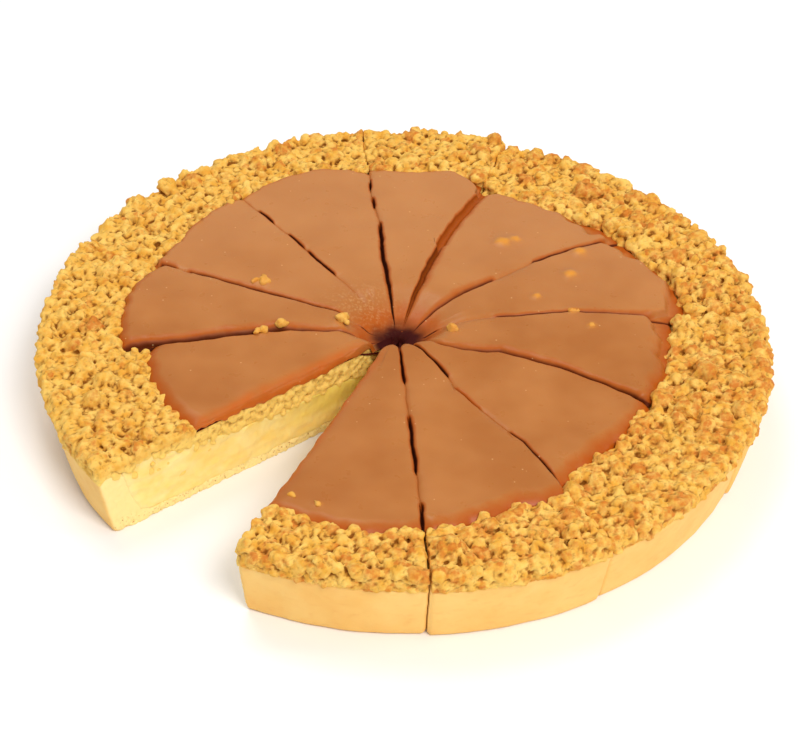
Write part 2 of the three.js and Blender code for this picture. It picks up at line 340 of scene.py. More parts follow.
class Finish:
    # one node material and short words for building it
    def __init__(self, name):
        self.material = bpy.data.materials.new(name)
        self.material.use_nodes = True
        self.tree = self.material.node_tree
        self.shader = self.tree.nodes["Principled BSDF"]
        self.coords = self.add("ShaderNodeTexCoord").outputs["Object"]

    def add(self, kind, values=None, **settings):
        node = self.tree.nodes.new(kind)
        for key, value in settings.items():
            setattr(node, key, value)
        for key, value in (values or {}).items():
            if isinstance(value, bpy.types.NodeSocket):
                self.tree.links.new(value, node.inputs[key])
            else:
                node.inputs[key].default_value = value
        return node

    def attribute(self, name):
        return self.add("ShaderNodeAttribute", attribute_name=name).outputs["Fac"]

    def noise(self, size, detail=3, roughness=0.55, stretch=None):
        vector = self.coords
        if stretch:
            vector = self.add("ShaderNodeMapping", {"Vector": vector, "Scale": stretch}).outputs["Vector"]
        values = {"Vector": vector, "Scale": 1 / (size * mm), "Detail": detail, "Roughness": roughness}
        return self.add("ShaderNodeTexNoise", values).outputs["Fac"]

    def cells(self, size):
        values = {"Vector": self.coords, "Scale": 1 / (size * mm)}
        return self.add("ShaderNodeTexVoronoi", values).outputs["Distance"]

    def ramp(self, value, low, high, toLow=0.0, toHigh=1.0):
        values = {"Value": value, "From Min": low, "From Max": high, "To Min": toLow, "To Max": toHigh}
        return self.add("ShaderNodeMapRange", values).outputs["Result"]

    def sum(self, a, b):
        return self.add("ShaderNodeMath", {0: a, 1: b}, operation="ADD").outputs[0]

    def times(self, a, b):
        return self.add("ShaderNodeMath", {0: a, 1: b}, operation="MULTIPLY").outputs[0]

    def blend(self, amount, under, over):
        return self.add("ShaderNodeMix", {0: amount, 6: under, 7: over}, data_type="RGBA").outputs[2]

    def bump(self, height, depth, strength=1.0, over=None):
        values = {"Height": height, "Distance": depth * mm, "Strength": strength}
        if over is not None:
            values["Normal"] = over
        return self.add("ShaderNodeBump", values).outputs["Normal"]

    def set(self, **sockets):
        for key, value in sockets.items():
            name = {"colour": "Base Color", "roughness": "Roughness", "normal": "Normal",
                    "gloss": "Specular IOR Level", "depth": "Subsurface Weight",
                    "depthScale": "Subsurface Scale", "depthRadius": "Subsurface Radius"}[key]
            if isinstance(value, bpy.types.NodeSocket):
                self.tree.links.new(value, self.shader.inputs[name])
            else:
                self.shader.inputs[name].default_value = value
        return self.material


caramelShades = {
    "body": linear(171, 103, 47),
    "pale": linear(184, 117, 60),
    # back: painted sheen, a paler colour for the caramel towards the back
    "back": linear(200, 138, 86),
    # margin: the thin edge's own orange-brown, with painted shade beside the crumbs, on the cut flanks and down
    # into the pit
    "marginAndShade": linear(174, 80, 8),
    # deep: painted shade, near black in open grooves, round the pit, under the sheet and on the bridge
    "deep": linear(58, 4, 0),
    "lip": linear(192, 98, 34),
    "lump": linear(220, 146, 52),
    "speck": linear(232, 184, 126),
    "froth": linear(222, 172, 116),
}


def caramelFinish():
    finish = Finish("caramel")
    large = finish.ramp(finish.noise(28, 2), 0.35, 0.65)
    colour = finish.blend(large, caramelShades["body"], caramelShades["pale"])
    # painted sheen: paler towards the back
    colour = finish.blend(finish.attribute("back"), colour, caramelShades["back"])
    colour = finish.blend(finish.attribute("lump"), colour, caramelShades["lump"])
    ragged = finish.ramp(finish.noise(5, 3), 0.3, 0.7, -0.12, 0.12)
    # the thin edge's own tone, with painted shade on the cut flanks and round the pit
    marginAndShade = finish.sum(finish.attribute("marginAndShade"), ragged)
    marginAndShade = finish.ramp(marginAndShade, 0.15, 0.95, 0.0, 0.95)
    colour = finish.blend(marginAndShade, colour, caramelShades["marginAndShade"])
    colour = finish.blend(finish.attribute("lip"), colour, caramelShades["lip"])
    # painted shade in the grooves, round the pit and under the sheet
    colour = finish.blend(finish.attribute("deep"), colour, caramelShades["deep"])
    specks = finish.ramp(finish.cells(6.5), 0.06, 0.035)
    colour = finish.blend(finish.times(specks, 0.55), colour, caramelShades["speck"])
    pinholes = finish.ramp(finish.cells(9.5), 0.045, 0.025)
    colour = finish.blend(finish.times(pinholes, 0.5), colour, caramelShades["marginAndShade"])
    frothy = finish.ramp(finish.noise(1.2, 4), 0.5, 0.72)
    frothy = finish.times(frothy, finish.attribute("rough"))
    colour = finish.blend(finish.times(frothy, 0.5), colour, caramelShades["froth"])
    fine = finish.bump(finish.noise(1.1, 3), 0.04, 0.3)
    soft = finish.bump(finish.noise(9, 2), 0.35, 0.45, fine)
    rough = finish.ramp(finish.noise(6, 3), 0.3, 0.7, 0.26, 0.4)
    rough = finish.sum(rough, finish.times(finish.attribute("deep"), 0.5))
    return finish.set(colour=colour, roughness=rough, normal=soft, gloss=0.16,
                      depth=0.15, depthRadius=(1.0, 0.42, 0.16), depthScale=0.002)


crumbleShades = {
    "pale": linear(242, 199, 103),
    "golden": linear(228, 167, 62),
    "toasted": linear(202, 112, 36),
    # painted crevice shade: colour of the hollows between crumbs where shade falls
    "creviceShade": linear(132, 77, 12),
    "coated": linear(214, 134, 54),
    "inside": linear(246, 210, 114),
}


def crumbleFinish():
    finish = Finish("crumble")
    patches = finish.ramp(finish.noise(4.5, 3), 0.35, 0.65)
    colour = finish.blend(patches, crumbleShades["pale"], crumbleShades["golden"])
    toast = finish.sum(finish.attribute("toast"), finish.ramp(finish.noise(2.2, 4), 0.3, 0.7, -0.3, 0.3))
    colour = finish.blend(finish.ramp(toast, 0.5, 1.05, 0.0, 0.85), colour, crumbleShades["toasted"])
    colour = finish.blend(finish.attribute("inside"), colour, crumbleShades["inside"])
    # painted crevice shade in the hollows and valleys of the skin
    colour = finish.blend(finish.attribute("paintedCreviceShade"), colour, crumbleShades["creviceShade"])
    colour = finish.blend(finish.attribute("coat"), colour, crumbleShades["coated"])
    grains = finish.bump(finish.noise(0.9, 4, 0.7), 0.4, 0.8)
    return finish.set(colour=colour, roughness=0.75, normal=grains, gloss=0.15,
                      depth=0.15, depthRadius=(1.0, 0.6, 0.25), depthScale=0.001)


crustShades = {
    "pale": linear(245, 200, 117),
    "golden": linear(241, 188, 102),
    "baked": linear(230, 160, 78),
    "inside": linear(248, 222, 150),
    "pore": linear(172, 122, 62),
}


def crustFinish():
    finish = Finish("crust")
    patches = finish.ramp(finish.noise(16, 4), 0.35, 0.68)
    colour = finish.blend(patches, crustShades["pale"], crustShades["golden"])
    streaks = finish.ramp(finish.noise(5, 4, stretch=(1, 1, 2)), 0.55, 0.8, 0.0, 0.35)
    colour = finish.blend(streaks, colour, crustShades["baked"])
    pores = finish.ramp(finish.cells(1.3), 0.34, 0.12)
    inside = finish.blend(finish.times(pores, finish.attribute("pores")),
                          crustShades["inside"], crustShades["pore"])
    colour = finish.blend(finish.attribute("cut"), colour, inside)
    fine = finish.bump(finish.noise(0.9, 4, 0.6), 0.12, 0.35)
    return finish.set(colour=colour, roughness=0.72, normal=fine, gloss=0.3,
                      depth=0.15, depthRadius=(1.0, 0.6, 0.3), depthScale=0.002)


fillingShades = {
    "cream": linear(250, 220, 136),
    "yellow": linear(246, 206, 106),
    "green": linear(230, 202, 88),
    "pale": linear(251, 226, 152),
}


def fillingFinish():
    finish = Finish("filling")
    layers = finish.ramp(finish.noise(9, 2, stretch=(1, 1, 2.2)), 0.35, 0.7, 0.0, 0.8)
    colour = finish.blend(layers, fillingShades["cream"], fillingShades["yellow"])
    chunks = finish.ramp(finish.noise(12, 2), 0.46, 0.66)
    colour = finish.blend(chunks, colour, fillingShades["pale"])
    colour = finish.blend(finish.attribute("wall"), colour, fillingShades["pale"])
    colour = finish.blend(finish.attribute("green"), colour, fillingShades["green"])
    soft = finish.bump(finish.noise(2.4, 4, 0.6), 0.3, 0.4)
    return finish.set(colour=colour, roughness=0.38, normal=soft, gloss=0.45,
                      depth=0.35, depthRadius=(1.0, 0.75, 0.3), depthScale=0.003)


caramel = {
    "top": 35.2,
    "foot": 30.35,
    "undulation": 0.45,
    "sliceLift": 0.35,  # slices stand a little higher or lower than each other
    "pillow": 0.45,  # a slice's middle stands above its flanks
    "dent": 0.35,
    "edgeThick": 0.9,  # what is left of the sheet's height at its outer edge
    "film": 1.7,  # thickness of the thin film outside the thick sheet
    "edgeWaves": [(1.1, 6.5), (0.65, 2.6), (1.0, 15)],  # depth and size of the outer edge's waves
    # heading, width of the film and of the roll down to it
    "margins": [(337, 0.4, 5), (366, 0.4, 6.5), (394, 0.4, 7.5), (426, 1, 6), (440, 3, 4), (458, 7, 3),
                (466, 2.5, 3), (478, 4.5, 3), (490, 8, 3), (500, 2.5, 3), (515, 1.5, 2.5), (522, 5, 2.5),
                (528, 0.6, 2.2), (547, 0.3, 2), (600, 0.4, 2.2), (608, 3, 2.5), (614, 0.5, 4), (639, 0.5, 5),
                (669.5, 0.5, 6)],
    "hole": (-2.6, 1.0, 2.4),  # middle and radius of the hole where the tips meet
    # heading, where the sheet starts to fall and where it is down, from the knife's crossing, and how round
    "pit": [(337, 13, 8, 1), (366, 12.5, 7.5, 1), (394, 13, 7.5, 1), (426, 17, 9, 0.6), (458, 27, 11, 0.1),
            (488, 30, 10, 0), (522, 30, 9, 0), (547, 29, 9, 0), (577, 28, 10, 0), (608, 27, 12, 0),
            (639, 22, 12, 0.3), (669.5, 15, 9, 0.7)],
    "pitFloor": 28.7,
    "underside": [(20, 30.2), (12.5, 27.9)],  # distance from the crossing, and height
    "lobes": 4.5,  # how far the fall starts further out beside a cut, which makes rounded lobes of the tips
    "shadow": (-1.5, 1.0, 15.5, 12.0),  # middle and half widths of the painted shadow round the hole
    "rough": (-17, 17, 12),  # middle and size of the rough, frothy place
    "closedLine": 0.14,  # half width of a knife line where the caramel has closed again
    # of each knife line: its drift as (distance from the crossing, heading); the fall of the sheet beside it,
    # on the side of the lower and of the higher heading, as (distance, width, drop); and the stretches that
    # stayed open as (from, to, half width, depth)
    "knifeLines": [
        {"line": [(10, 5.6), (120, 5.6)],
         "falls": ([(0, 1.8, 1.6), (34, 1.4, 1.3), (120, 1.2, 1.0)],
                   [(0, 2.4, 1.7), (34, 1.6, 1.3), (120, 1.2, 1.0)]),
         "open": [(2, 34, 0.5, 4.8), (55, 87, 0.42, 4.6), (104, 125, 0.5, 4.8)]},
        {"line": [(12, 37.2), (36, 34.5), (44, 32), (86, 35.2), (113.6, 34)],
         "falls": ([(0, 2, 1.6), (40, 1, 0.9), (120, 0.8, 0.8)],
                   [(0, 2.4, 1.8), (40, 1.6, 1.3), (120, 1.4, 1.2)]),
         "open": [(2, 36, 0.5, 4.8), (44, 60, 0.2, 2.0), (78, 118, 0.3, 4.4)]},
        {"line": [(19, 60), (42, 71.8), (66, 70.4), (100, 66.8), (110, 68)],
         "falls": ([(0, 1.2, 0.9), (120, 0.8, 0.6)],
                   [(0, 4.5, 3), (20, 5.4, 3.1), (45, 4.4, 2.6), (75, 2.6, 1.8), (95, 2.4, 2.6), (120, 3, 3)]),
         "open": [(2, 42, 0.5, 4.6), (42, 92, 0.45, 4.8), (92, 118, 0.9, 4.6)]},
        {"line": [(16, 103), (41, 103), (65, 101.3), (88, 98.5), (112, 95.8)],
         "falls": ([(0, 0.9, 0.7), (120, 0.8, 0.6)],
                   [(0, 3.2, 2.2), (20, 2.4, 1.4), (60, 1.4, 1), (90, 2.6, 1.8), (120, 3.2, 2.4)]),
         "open": [(2, 17, 0.6, 3.4), (41, 120, 0.3, 4.4)]},
        {"line": [(23, 134), (51, 130.6), (72, 130.4), (93, 127.9), (111, 125.8)],
         "falls": ([(0, 1, 0.8), (120, 0.9, 0.7)],
                   [(0, 5, 2.8), (20, 5.6, 2.9), (48, 3.4, 1.8), (70, 1.8, 1), (100, 1.8, 1.4), (120, 3, 2)]),
         "open": [(2, 51, 0.5, 4.6), (72, 118, 0.4, 4.7)]},
        {"line": [(25, 164.5), (55, 163.9), (82, 162.5), (95, 160.9), (106, 160.1)],
         "falls": ([(0, 4.5, 2.2), (30, 4.5, 2), (60, 2.6, 1.5), (110, 2.6, 1.5)],
                   [(0, 1, 0.8), (110, 0.8, 0.7)]),
         "open": [(2, 60, 0.8, 3), (60, 110, 1.5, 2.5)]},
        {"line": [(12, 187), (45, 187.6), (70, 186.4), (90, 187.6), (120, 186.6)],
         "falls": ([(0, 2.2, 1.8), (40, 1.6, 1.4), (70, 1.2, 1), (120, 1, 0.8)],
                   [(0, 2.6, 2), (40, 1.8, 1.5), (70, 1.2, 1), (120, 1, 0.8)]),
         "open": [(2, 12, 0.5, 3.6), (12, 71, 0.55, 4.6), (83, 89, 0.4, 4), (96, 102, 0.4, 4.4)]},
        {"line": [(12, 216.6), (60, 216.2), (120, 217)],
         "falls": ([(0, 2.5, 0.8), (40, 1.2, 0.7), (120, 1, 0.7)],
                   [(0, 2.5, 0.8), (40, 1, 0.7), (120, 0.9, 0.7)]),
         "open": [(43, 62, 0.34, 4), (65, 76, 0.3, 4), (87, 97, 0.36, 4.2)]},
        {"line": [(12, 247.7), (120, 247.7)],
         "falls": ([(0, 3, 1.6), (45, 2.4, 1.4), (80, 2.4, 1.6), (100, 3.4, 2.4)],
                   [(0, 0.9, 0.6), (100, 0.8, 0.6)]),
         "open": [(2, 16, 0.4, 3.4), (22, 45, 0.3, 3.6), (45, 90, 0.45, 4.6), (96, 103, 0.5, 4.6)]},
        {"line": [(11, 284), (18, 277), (44, 273.4), (58, 275), (74, 277), (107, 278.6)],
         "falls": ([(0, 4, 2.4), (35, 5, 2.6), (80, 4.6, 2.4), (110, 4.6, 2.6)],
                   [(0, 0.9, 0.6), (120, 0.9, 0.6)]),
         "open": [(2, 30, 0.5, 4.6), (30, 122, 0.6, 4.8)]},
    ],
    # the rolled lip on the two faces of the missing portion: (distance from the crossing, its lower edge)
    "hang": [(6, 31.5), (14, 31), (23, 30.8), (33, 30.2), (43, 29.6), (60, 29.4), (72, 29.8), (83, 30.4),
             (90, 31), (96, 31.6), (125, 31.8)],
    "bridge": 8.0,  # how far the pit's floor reaches over the missing portion's tip
    "hangProud": 0.5,
    # the lip's section: share of how far it stands out, and of the way down
    "hangProfile": [(0.25, 0.05), (0.5, 0.13), (0.72, 0.24), (0.88, 0.37), (0.97, 0.51), (1.0, 0.65),
                    (0.97, 0.79), (0.85, 0.9), (0.55, 0.97), (0.1, 1.0), (-0.5, 0.9)],
    "faceRoll": (6.0, 2.6),  # how wide and how deep the sheet rolls down to an open face
    "holeBottom": 24.2,
    # its wall, as share of the way out from its middle and height
    "holeWall": [(0.01, 24.2), (0.35, 24.6), (0.65, 25.4), (0.85, 26.6), (0.96, 27.8)],
    # the grid: its rows from the hole's edge outwards and from the outer edge inwards, and its columns
    # from a cut into the portion, with the rest spread evenly between them
    "rowsInside": [0, 0.25, 0.6, 1, 1.5, 2.1, 2.8, 3.5, 4.2, 4.9, 5.6, 6.3, 7.1, 8, 9],
    "rowsAtEdge": [12, 11.2, 10.4, 9.7, 9, 8.3, 7.6, 6.9, 6.3, 5.7, 5.1, 4.5, 4, 3.5, 3, 2.5, 2.1, 1.7, 1.3, 1,
                   0.7, 0.45, 0.25, 0.1, 0],
    "rowsBetween": 80,
    "stations": [0, 0.02, 0.07, 0.16, 0.3, 0.5, 0.75, 1.05, 1.4, 1.85, 2.5, 3.4, 4.6, 6.2],
    "columnsBetween": 18,
}


def caramelGrid():
    # for every row and column of the sheet its heading and distance from the knife's crossing, how far it is
    # from the nearest cut, and how wide and deep that cut and the fall beside it are
    fromInside, fromEdge = np.array(caramel["rowsInside"]), np.array(caramel["rowsAtEdge"])
    between = caramel["rowsBetween"]
    apart = np.array(caramel["hole"][:2]) - cutCentre

    def innerReach(headings):
        # from the crossing to the hole's edge
        along = direction(headings) @ apart
        return along + np.sqrt(along ** 2 - apart @ apart + caramel["hole"][2] ** 2)

    def outerReach(portion, share):
        # from the crossing to the sheet's outer edge
        radius = portion.edge(share)
        ray = direction(portion.start + portion.span * share)
        along = ray @ cutCentre
        reach = -along + np.sqrt(along ** 2 - cutCentre @ cutCentre + radius ** 2)
        rim = flat(*(ray * reach[..., None]).T)
        for k, (depth, size) in enumerate(caramel["edgeWaves"]):
            reach = reach + depth * softNoise(rim, size, 3 + k)
        return reach

    def distances(inner, outer):
        # (rows, columns) from the hole's edge to the outer edge
        first = inner + fromInside[:, None]
        last = outer - fromEdge[:, None]
        steps = (np.arange(1, between + 1) / (between + 1))[:, None]
        return np.concatenate([first, lerp(first[-1], last[0], steps), last])

    stations = np.array(caramel["stations"])
    inside = np.array([-1.0, -0.86, -0.5])  # share of the half width, on the groove's floor
    narrowest = 0.4 * math.radians(26)  # a side's columns keep within this angle near the tip

    def sideOf(index, sign):
        # the columns on one side of a knife line, from its middle outwards
        settings = caramel["knifeLines"][index]
        heading = np.array([float(cake["headings"][index + 1])])
        before, after = portions[index], portions[index + 1]
        rim = (outerReach(before, np.array([1.0])) + outerReach(after, np.array([0.0]))) / 2
        reach = distances(innerReach(heading), rim)[:, 0]
        turns = 360 * round((heading[0] - settings["line"][0][1]) / 360)
        centre = tableAt(reach, settings["line"]) + turns
        centre = centre + np.degrees(0.42 * softNoise(flat(reach, index * 37.0), 7, 6) / reach)
        closed = caramel["closedLine"]
        width, depth = np.full(len(reach), closed), np.zeros(len(reach))
        for low, high, half, deep in settings["open"]:
            here = smooth(reach, low - 1.2, low + 1.2) * (1 - smooth(reach, high - 1.2, high + 1.2))
            width = width + (half - closed) * here
            depth = depth + deep * here
        width = width * (1 + 0.3 * softNoise(flat(reach, index * 53.0 + 11), 2.4, 8))
        falls = np.array(settings["falls"][0 if sign < 0 else 1])
        fallWidth, fallDrop = (np.interp(reach, falls[:, 0], falls[:, k]) for k in (1, 2))
        unsteady = 1 + 0.22 * softNoise(flat(reach, index * 71.0 + sign), 6, 9)
        aside = np.concatenate([(1 + inside)[:, None] * width, stations[:, None] + width])
        squeeze = np.minimum(1, narrowest * reach / aside[-1])
        aside = (aside * squeeze).T
        columns = {"heading": centre[:, None] + sign * np.degrees(aside / reach[:, None]), "aside": aside,
                   "width": (width * squeeze)[:, None], "depth": depth[:, None],
                   "fall": (fallWidth * squeeze * unsteady)[:, None], "drop": (fallDrop * unsteady)[:, None]}
        return {key: values + 0 * aside for key, values in columns.items()}

    def openSide(portion, sign):
        share = 0.0 if sign > 0 else 1.0
        heading = portion.start + portion.span * share
        reach = distances(innerReach(np.array([heading])), outerReach(portion, np.array([share])))[:, 0]
        squeeze = np.minimum(1, narrowest * reach / stations[-1])
        aside = stations[None, :] * squeeze[:, None]
        return {"heading": heading + sign * np.degrees(aside / reach[:, None]), "aside": aside,
                "width": 0 * aside - 1, "depth": 0 * aside, "fall": 0 * aside + 1, "drop": 0 * aside}

    grid = {key: [] for key in ("heading", "aside", "width", "depth", "fall", "drop", "lift", "lobe")}
    for portion in portions:
        left, right = (openSide(portion, face.sign) if face.isOpen else sideOf(face.knife - 1, face.sign)
                       for face in portion.faces)
        shares = np.arange(1, caramel["columnsBetween"] + 1) / (caramel["columnsBetween"] + 1)
        middle = lerp(left["heading"][:, -1:], right["heading"][:, -1:], shares[None, :])
        plain = {"heading": middle, "aside": 0 * middle + 50, "width": 0 * middle - 1, "depth": 0 * middle,
                 "fall": 0 * middle + 1, "drop": 0 * middle}
        keepFirst = 0 if portion.index == 0 else 1
        for key in left:
            grid[key] += [left[key][:, keepFirst:], plain[key], right[key][:, ::-1]]
        # a slice's own height and pillow
        count = left["heading"].shape[1] - keepFirst + middle.shape[1] + right["heading"].shape[1]
        crosswise = np.linspace(0, 1, count)[None, :] + 0 * middle[:, :1]
        headings = np.concatenate([left["heading"][:, keepFirst:], middle, right["heading"][:, ::-1]], axis=1)
        fromMiddle = np.clip(2 * (headings - portion.start) / portion.span - 1, -1, 1)
        grid["lobe"].append(1 - np.sqrt(1 - fromMiddle ** 2))
        far = smooth(np.arange(len(middle)), 22, 50)[:, None]
        lift = caramel["sliceLift"] * math.sin(portion.index * 2.3) * far
        pillow = caramel["pillow"] * (np.sin(np.pi * crosswise).clip(0) ** 0.7 - 0.6) * far
        grid["lift"].append(pillow + lift * smooth(crosswise, 0, 0.3) * (1 - smooth(crosswise, 0.7, 1)))
    for key in grid:
        grid[key] = np.concatenate(grid[key], axis=1)

    rim = grid["heading"][-1]
    outer = np.zeros(len(rim))
    for portion in portions:
        here = (rim >= portion.start - 1e-6) & (rim <= portion.end + 1e-6)
        outer[here] = outerReach(portion, (rim[here] - portion.start) / portion.span)
    # the edge is notched where an open cut runs out
    nearEdge = -14  # a row a little inside the edge
    outer = outer - 1.6 * np.exp(-(grid["aside"][nearEdge] / 2.2) ** 2) * (grid["depth"][nearEdge] > 1)
    inner = innerReach(grid["heading"][0])
    grid["distance"] = distances(inner, outer)
    grid["fromEdge"] = outer - grid["distance"]
    grid["fromHole"] = grid["distance"] - inner
    return grid


def pouredTop(grid, place, noiseOver):
    # the sheet's upper side before it is cut, and where crumbs or froth show in it
    top = caramel["top"] + caramel["undulation"] * noiseOver(26, 1) + 0.16 * noiseOver(9, 2) + grid["lift"]
    lump = 0 * top
    for heading, radius, size, coat in crumble["strays"]:
        spot = direction(heading) * radius
        apart = np.hypot(place[..., 0] - spot[0], place[..., 1] - spot[1]) * (1 + 0.25 * noiseOver(3, 18))
        bulge = np.exp(-(apart / (0.56 * size)) ** 2)
        top = top + (0.06 + 0.2 * coat) * size * bulge
        lump = np.maximum(lump, coat * smooth(bulge, 0.3, 0.9))
    x, y, size = caramel["rough"]
    rough = np.exp(-(np.hypot(place[..., 0] - x, (place[..., 1] - y) * 1.2) / size) ** 2)
    return top + rough * (0.34 * noiseOver(3.1, 15) + 0.13 * noiseOver(1.5, 16)), lump, rough


def alongCuts(grid, top):
    # beside a knife line the sheet rolls down, then a steep wall and a floor
    aside, width, depth = grid["aside"], grid["width"], grid["depth"]
    grooved = width > 0
    isFloor = grooved & (aside < width * 0.999)
    opened = smooth(depth, 0, 1.5)
    past = np.clip((aside - width) / grid["fall"], 0, 1)
    fall = grid["drop"] * (1 - np.sqrt(np.maximum(1 - (1 - past) ** 2, 0))) * lerp(0.22, 1, opened)
    drop = np.where(isFloor, np.maximum(depth, fall), np.minimum(fall, 4))
    dent = caramel["dent"] * (np.exp(-(aside / 1.3) ** 2) + 0.8 * np.exp(-(aside / 4.0) ** 2)) * (1 - opened)
    height = top - np.where(grooved, drop + dent, 0)

    # painted shade: the flank that falls to a cut is coloured darker towards the cut
    wide = smooth(grid["fall"], 0.8, 3.5)
    flankShade = np.where(grooved, (1 - past) ** 0.7 * lerp(0.3, 1, opened), 0) ** lerp(0.8, 1.0, wide)
    # painted shade on the floor and lower flank of an open groove
    deep = np.where(grooved, smooth(1 - past, 0.62, 1.0) * smooth(depth, 1, 3.6) * lerp(0.9, 0.8, wide), 0)
    deep = np.where(isFloor & (depth < 3.3), deep * 0.35, deep)
    return height, flankShade, deep * (1 - 0.6 * smooth(depth, 3.3, 2.6))


def atMargin(grid, height, noiseOver, film, roll):
    # at the crumbs a roll down to a thin film, then the edge
    toEdge, foot = grid["fromEdge"], caramel["foot"]
    film = film * np.maximum(1 + 0.55 * noiseOver(9, 19), 0.2)
    share = np.clip((film + roll - toEdge) / roll, 0, 1)
    profile = lerp(1 - np.sqrt(np.maximum(1 - share ** 2, 0)), share ** 1.8, smooth(roll, 3, 7))
    thin = foot + lerp(caramel["edgeThick"], caramel["film"], np.clip(toEdge / np.maximum(film, 0.3), 0, 1))
    height = lerp(height, np.minimum(height, thin), profile)
    rounding = np.clip(1 - toEdge / 0.8, 0, 1)
    height = height - (height - foot) * (1 - np.sqrt(np.maximum(1 - rounding ** 2, 0)))
    height = np.maximum(height, foot + 0.02)
    height[-1] = foot
    # the tone towards the edge: the thin caramel's own orange-brown, with painted shade beside the crumbs
    return height, smooth((film + roll + 1.5 - toEdge) / (film + roll + 1.5), 0.0, 0.95)


def intoPit(grid, place, height, noiseOver, start, end, roundness):
    # the way down to where the tips meet, and the painted shadow round it
    toCut = caramel["lobes"] * grid["lobe"] * roundness
    nearPit = np.clip((start + toCut - grid["distance"]) / (start - end), 0, 1)
    sink = lerp(nearPit ** 1.5, 1 - np.sqrt(np.maximum(1 - nearPit ** 2, 0)), roundness)
    floor = caramel["pitFloor"] + 0.3 * noiseOver(5, 17)
    height = lerp(height, np.minimum(height, floor), sink)
    height = height - 2.2 * np.clip(1 - grid["fromHole"] / 4.0, 0, 1) ** 2 * smooth(nearPit, 0.5, 1)
    steep = np.clip(1 - grid["fromHole"] / 1.2, 0, 1)
    height = height - 1.5 * (1 - np.sqrt(np.maximum(1 - steep ** 2, 0)))
    x, y, wideX, wideY = caramel["shadow"]
    # painted shadow: darker within an ellipse round the hole
    pitShadow = np.hypot((place[..., 0] - x) / wideX, (place[..., 1] - y) / wideY) + 0.14 * noiseOver(4, 20)
    return height, nearPit, (1 - smooth(pitShadow, 0.35, 1.0)) * smooth(nearPit, 0.35, 0.95)


def rollToFace(grid, points, shades, noiseOver, columns):
    # the sheet rolls down to an open face
    wide, deep = caramel["faceRoll"]
    distance = grid["distance"][:, columns]
    near = np.clip(1 - grid["aside"][:, columns] / wide, 0, 1)
    grow = smooth(distance, 9, 26) * smooth(grid["fromEdge"][:, columns], 0, 6)
    near = np.clip(near * (1 + 0.15 * noiseOver(7, 25)[:, columns]), 0, 1)
    points[:, columns, 2] -= deep * (1 - np.sqrt(1 - near ** 2)) * grow
    uneven = 0.75 + 0.3 * noiseOver(4, 23)[:, columns]
    shades["lip"][:, columns] = np.clip(uneven * smooth(near + 0.2 * uneven - 0.15, 0.3, 1.0), 0, 1) * grow
    # painted shade at the tip beside an open face
    atTip = (1 - smooth(distance, 8, 12)) * smooth(near, 0, 0.6)
    shades["deep"][:, columns] = np.maximum(shades["deep"][:, columns], atTip)


def lipOver(grid, points, border, face):
    # columns from the sheet's border down an open face and back under it
    column, distance = points[:, border], grid["distance"][:, border]
    outward = -face.sign * across(face.heading)
    low = tableAt(distance, caramel["hang"])
    low = low + 1.1 * softNoise(flat(distance, 7.0 * face.sign), 5, 12)
    low = low + 0.8 * softNoise(flat(distance, 3), 1.8, 13)
    low = np.minimum(low, column[:, 2] - 0.3)
    grow = smooth(distance, 8, 30)
    proud = caramel["hangProud"] * lerp(0.25, 1, grow) * (1 - 0.75 * smooth(distance, 88, 104))
    proud = proud * np.maximum(1 + 0.8 * softNoise(flat(distance, 5.0 * face.sign + 9), 5, 14), 0.1)
    proud = np.where(grid["fromEdge"][:, border] < 3, proud * 0.4, proud)
    made, tones = [], []
    for out, down in caramel["hangProfile"]:
        place = column[:, :2] + outward * (proud * out)[:, None]
        made.append(np.concatenate([place, lerp(column[:, 2], low, down)[:, None]], axis=1))
        tones.append(lerp(0.75, 1, smooth(down, 0.0, 0.5)) * grow)
    inward = column[:, :2] - outward * 1.6
    made.append(np.concatenate([inward, np.full((len(column), 1), caramel["foot"])], axis=1))
    tones.append(np.ones(len(column)) * grow)
    return np.stack(made, axis=1), np.stack(tones, axis=1)


def underSheet(grid, points, lip):
    # rows under the sheet, to the hole's middle, and up its wall
    middle, mouth, bottom = np.array(caramel["hole"][:2]), points[0], caramel["holeBottom"]
    under = [points[-1]]
    for reach, z in caramel["underside"]:
        ring = points[np.searchsorted(grid["distance"][:, 0], reach), :, :2].copy()
        ring[:lip] = ring[0]
        ring[-lip:] = ring[-1]
        under.append(np.column_stack([ring, np.full(len(ring), z)]))
    under.append(np.column_stack([lerp(middle, mouth[:, :2], 1.35), np.full(len(mouth), bottom)]))
    for part, z in caramel["holeWall"]:
        under.append(np.column_stack([lerp(middle, mouth[:, :2], part), np.minimum(z, mouth[:, 2] - 0.1)]))
    return np.array(under)


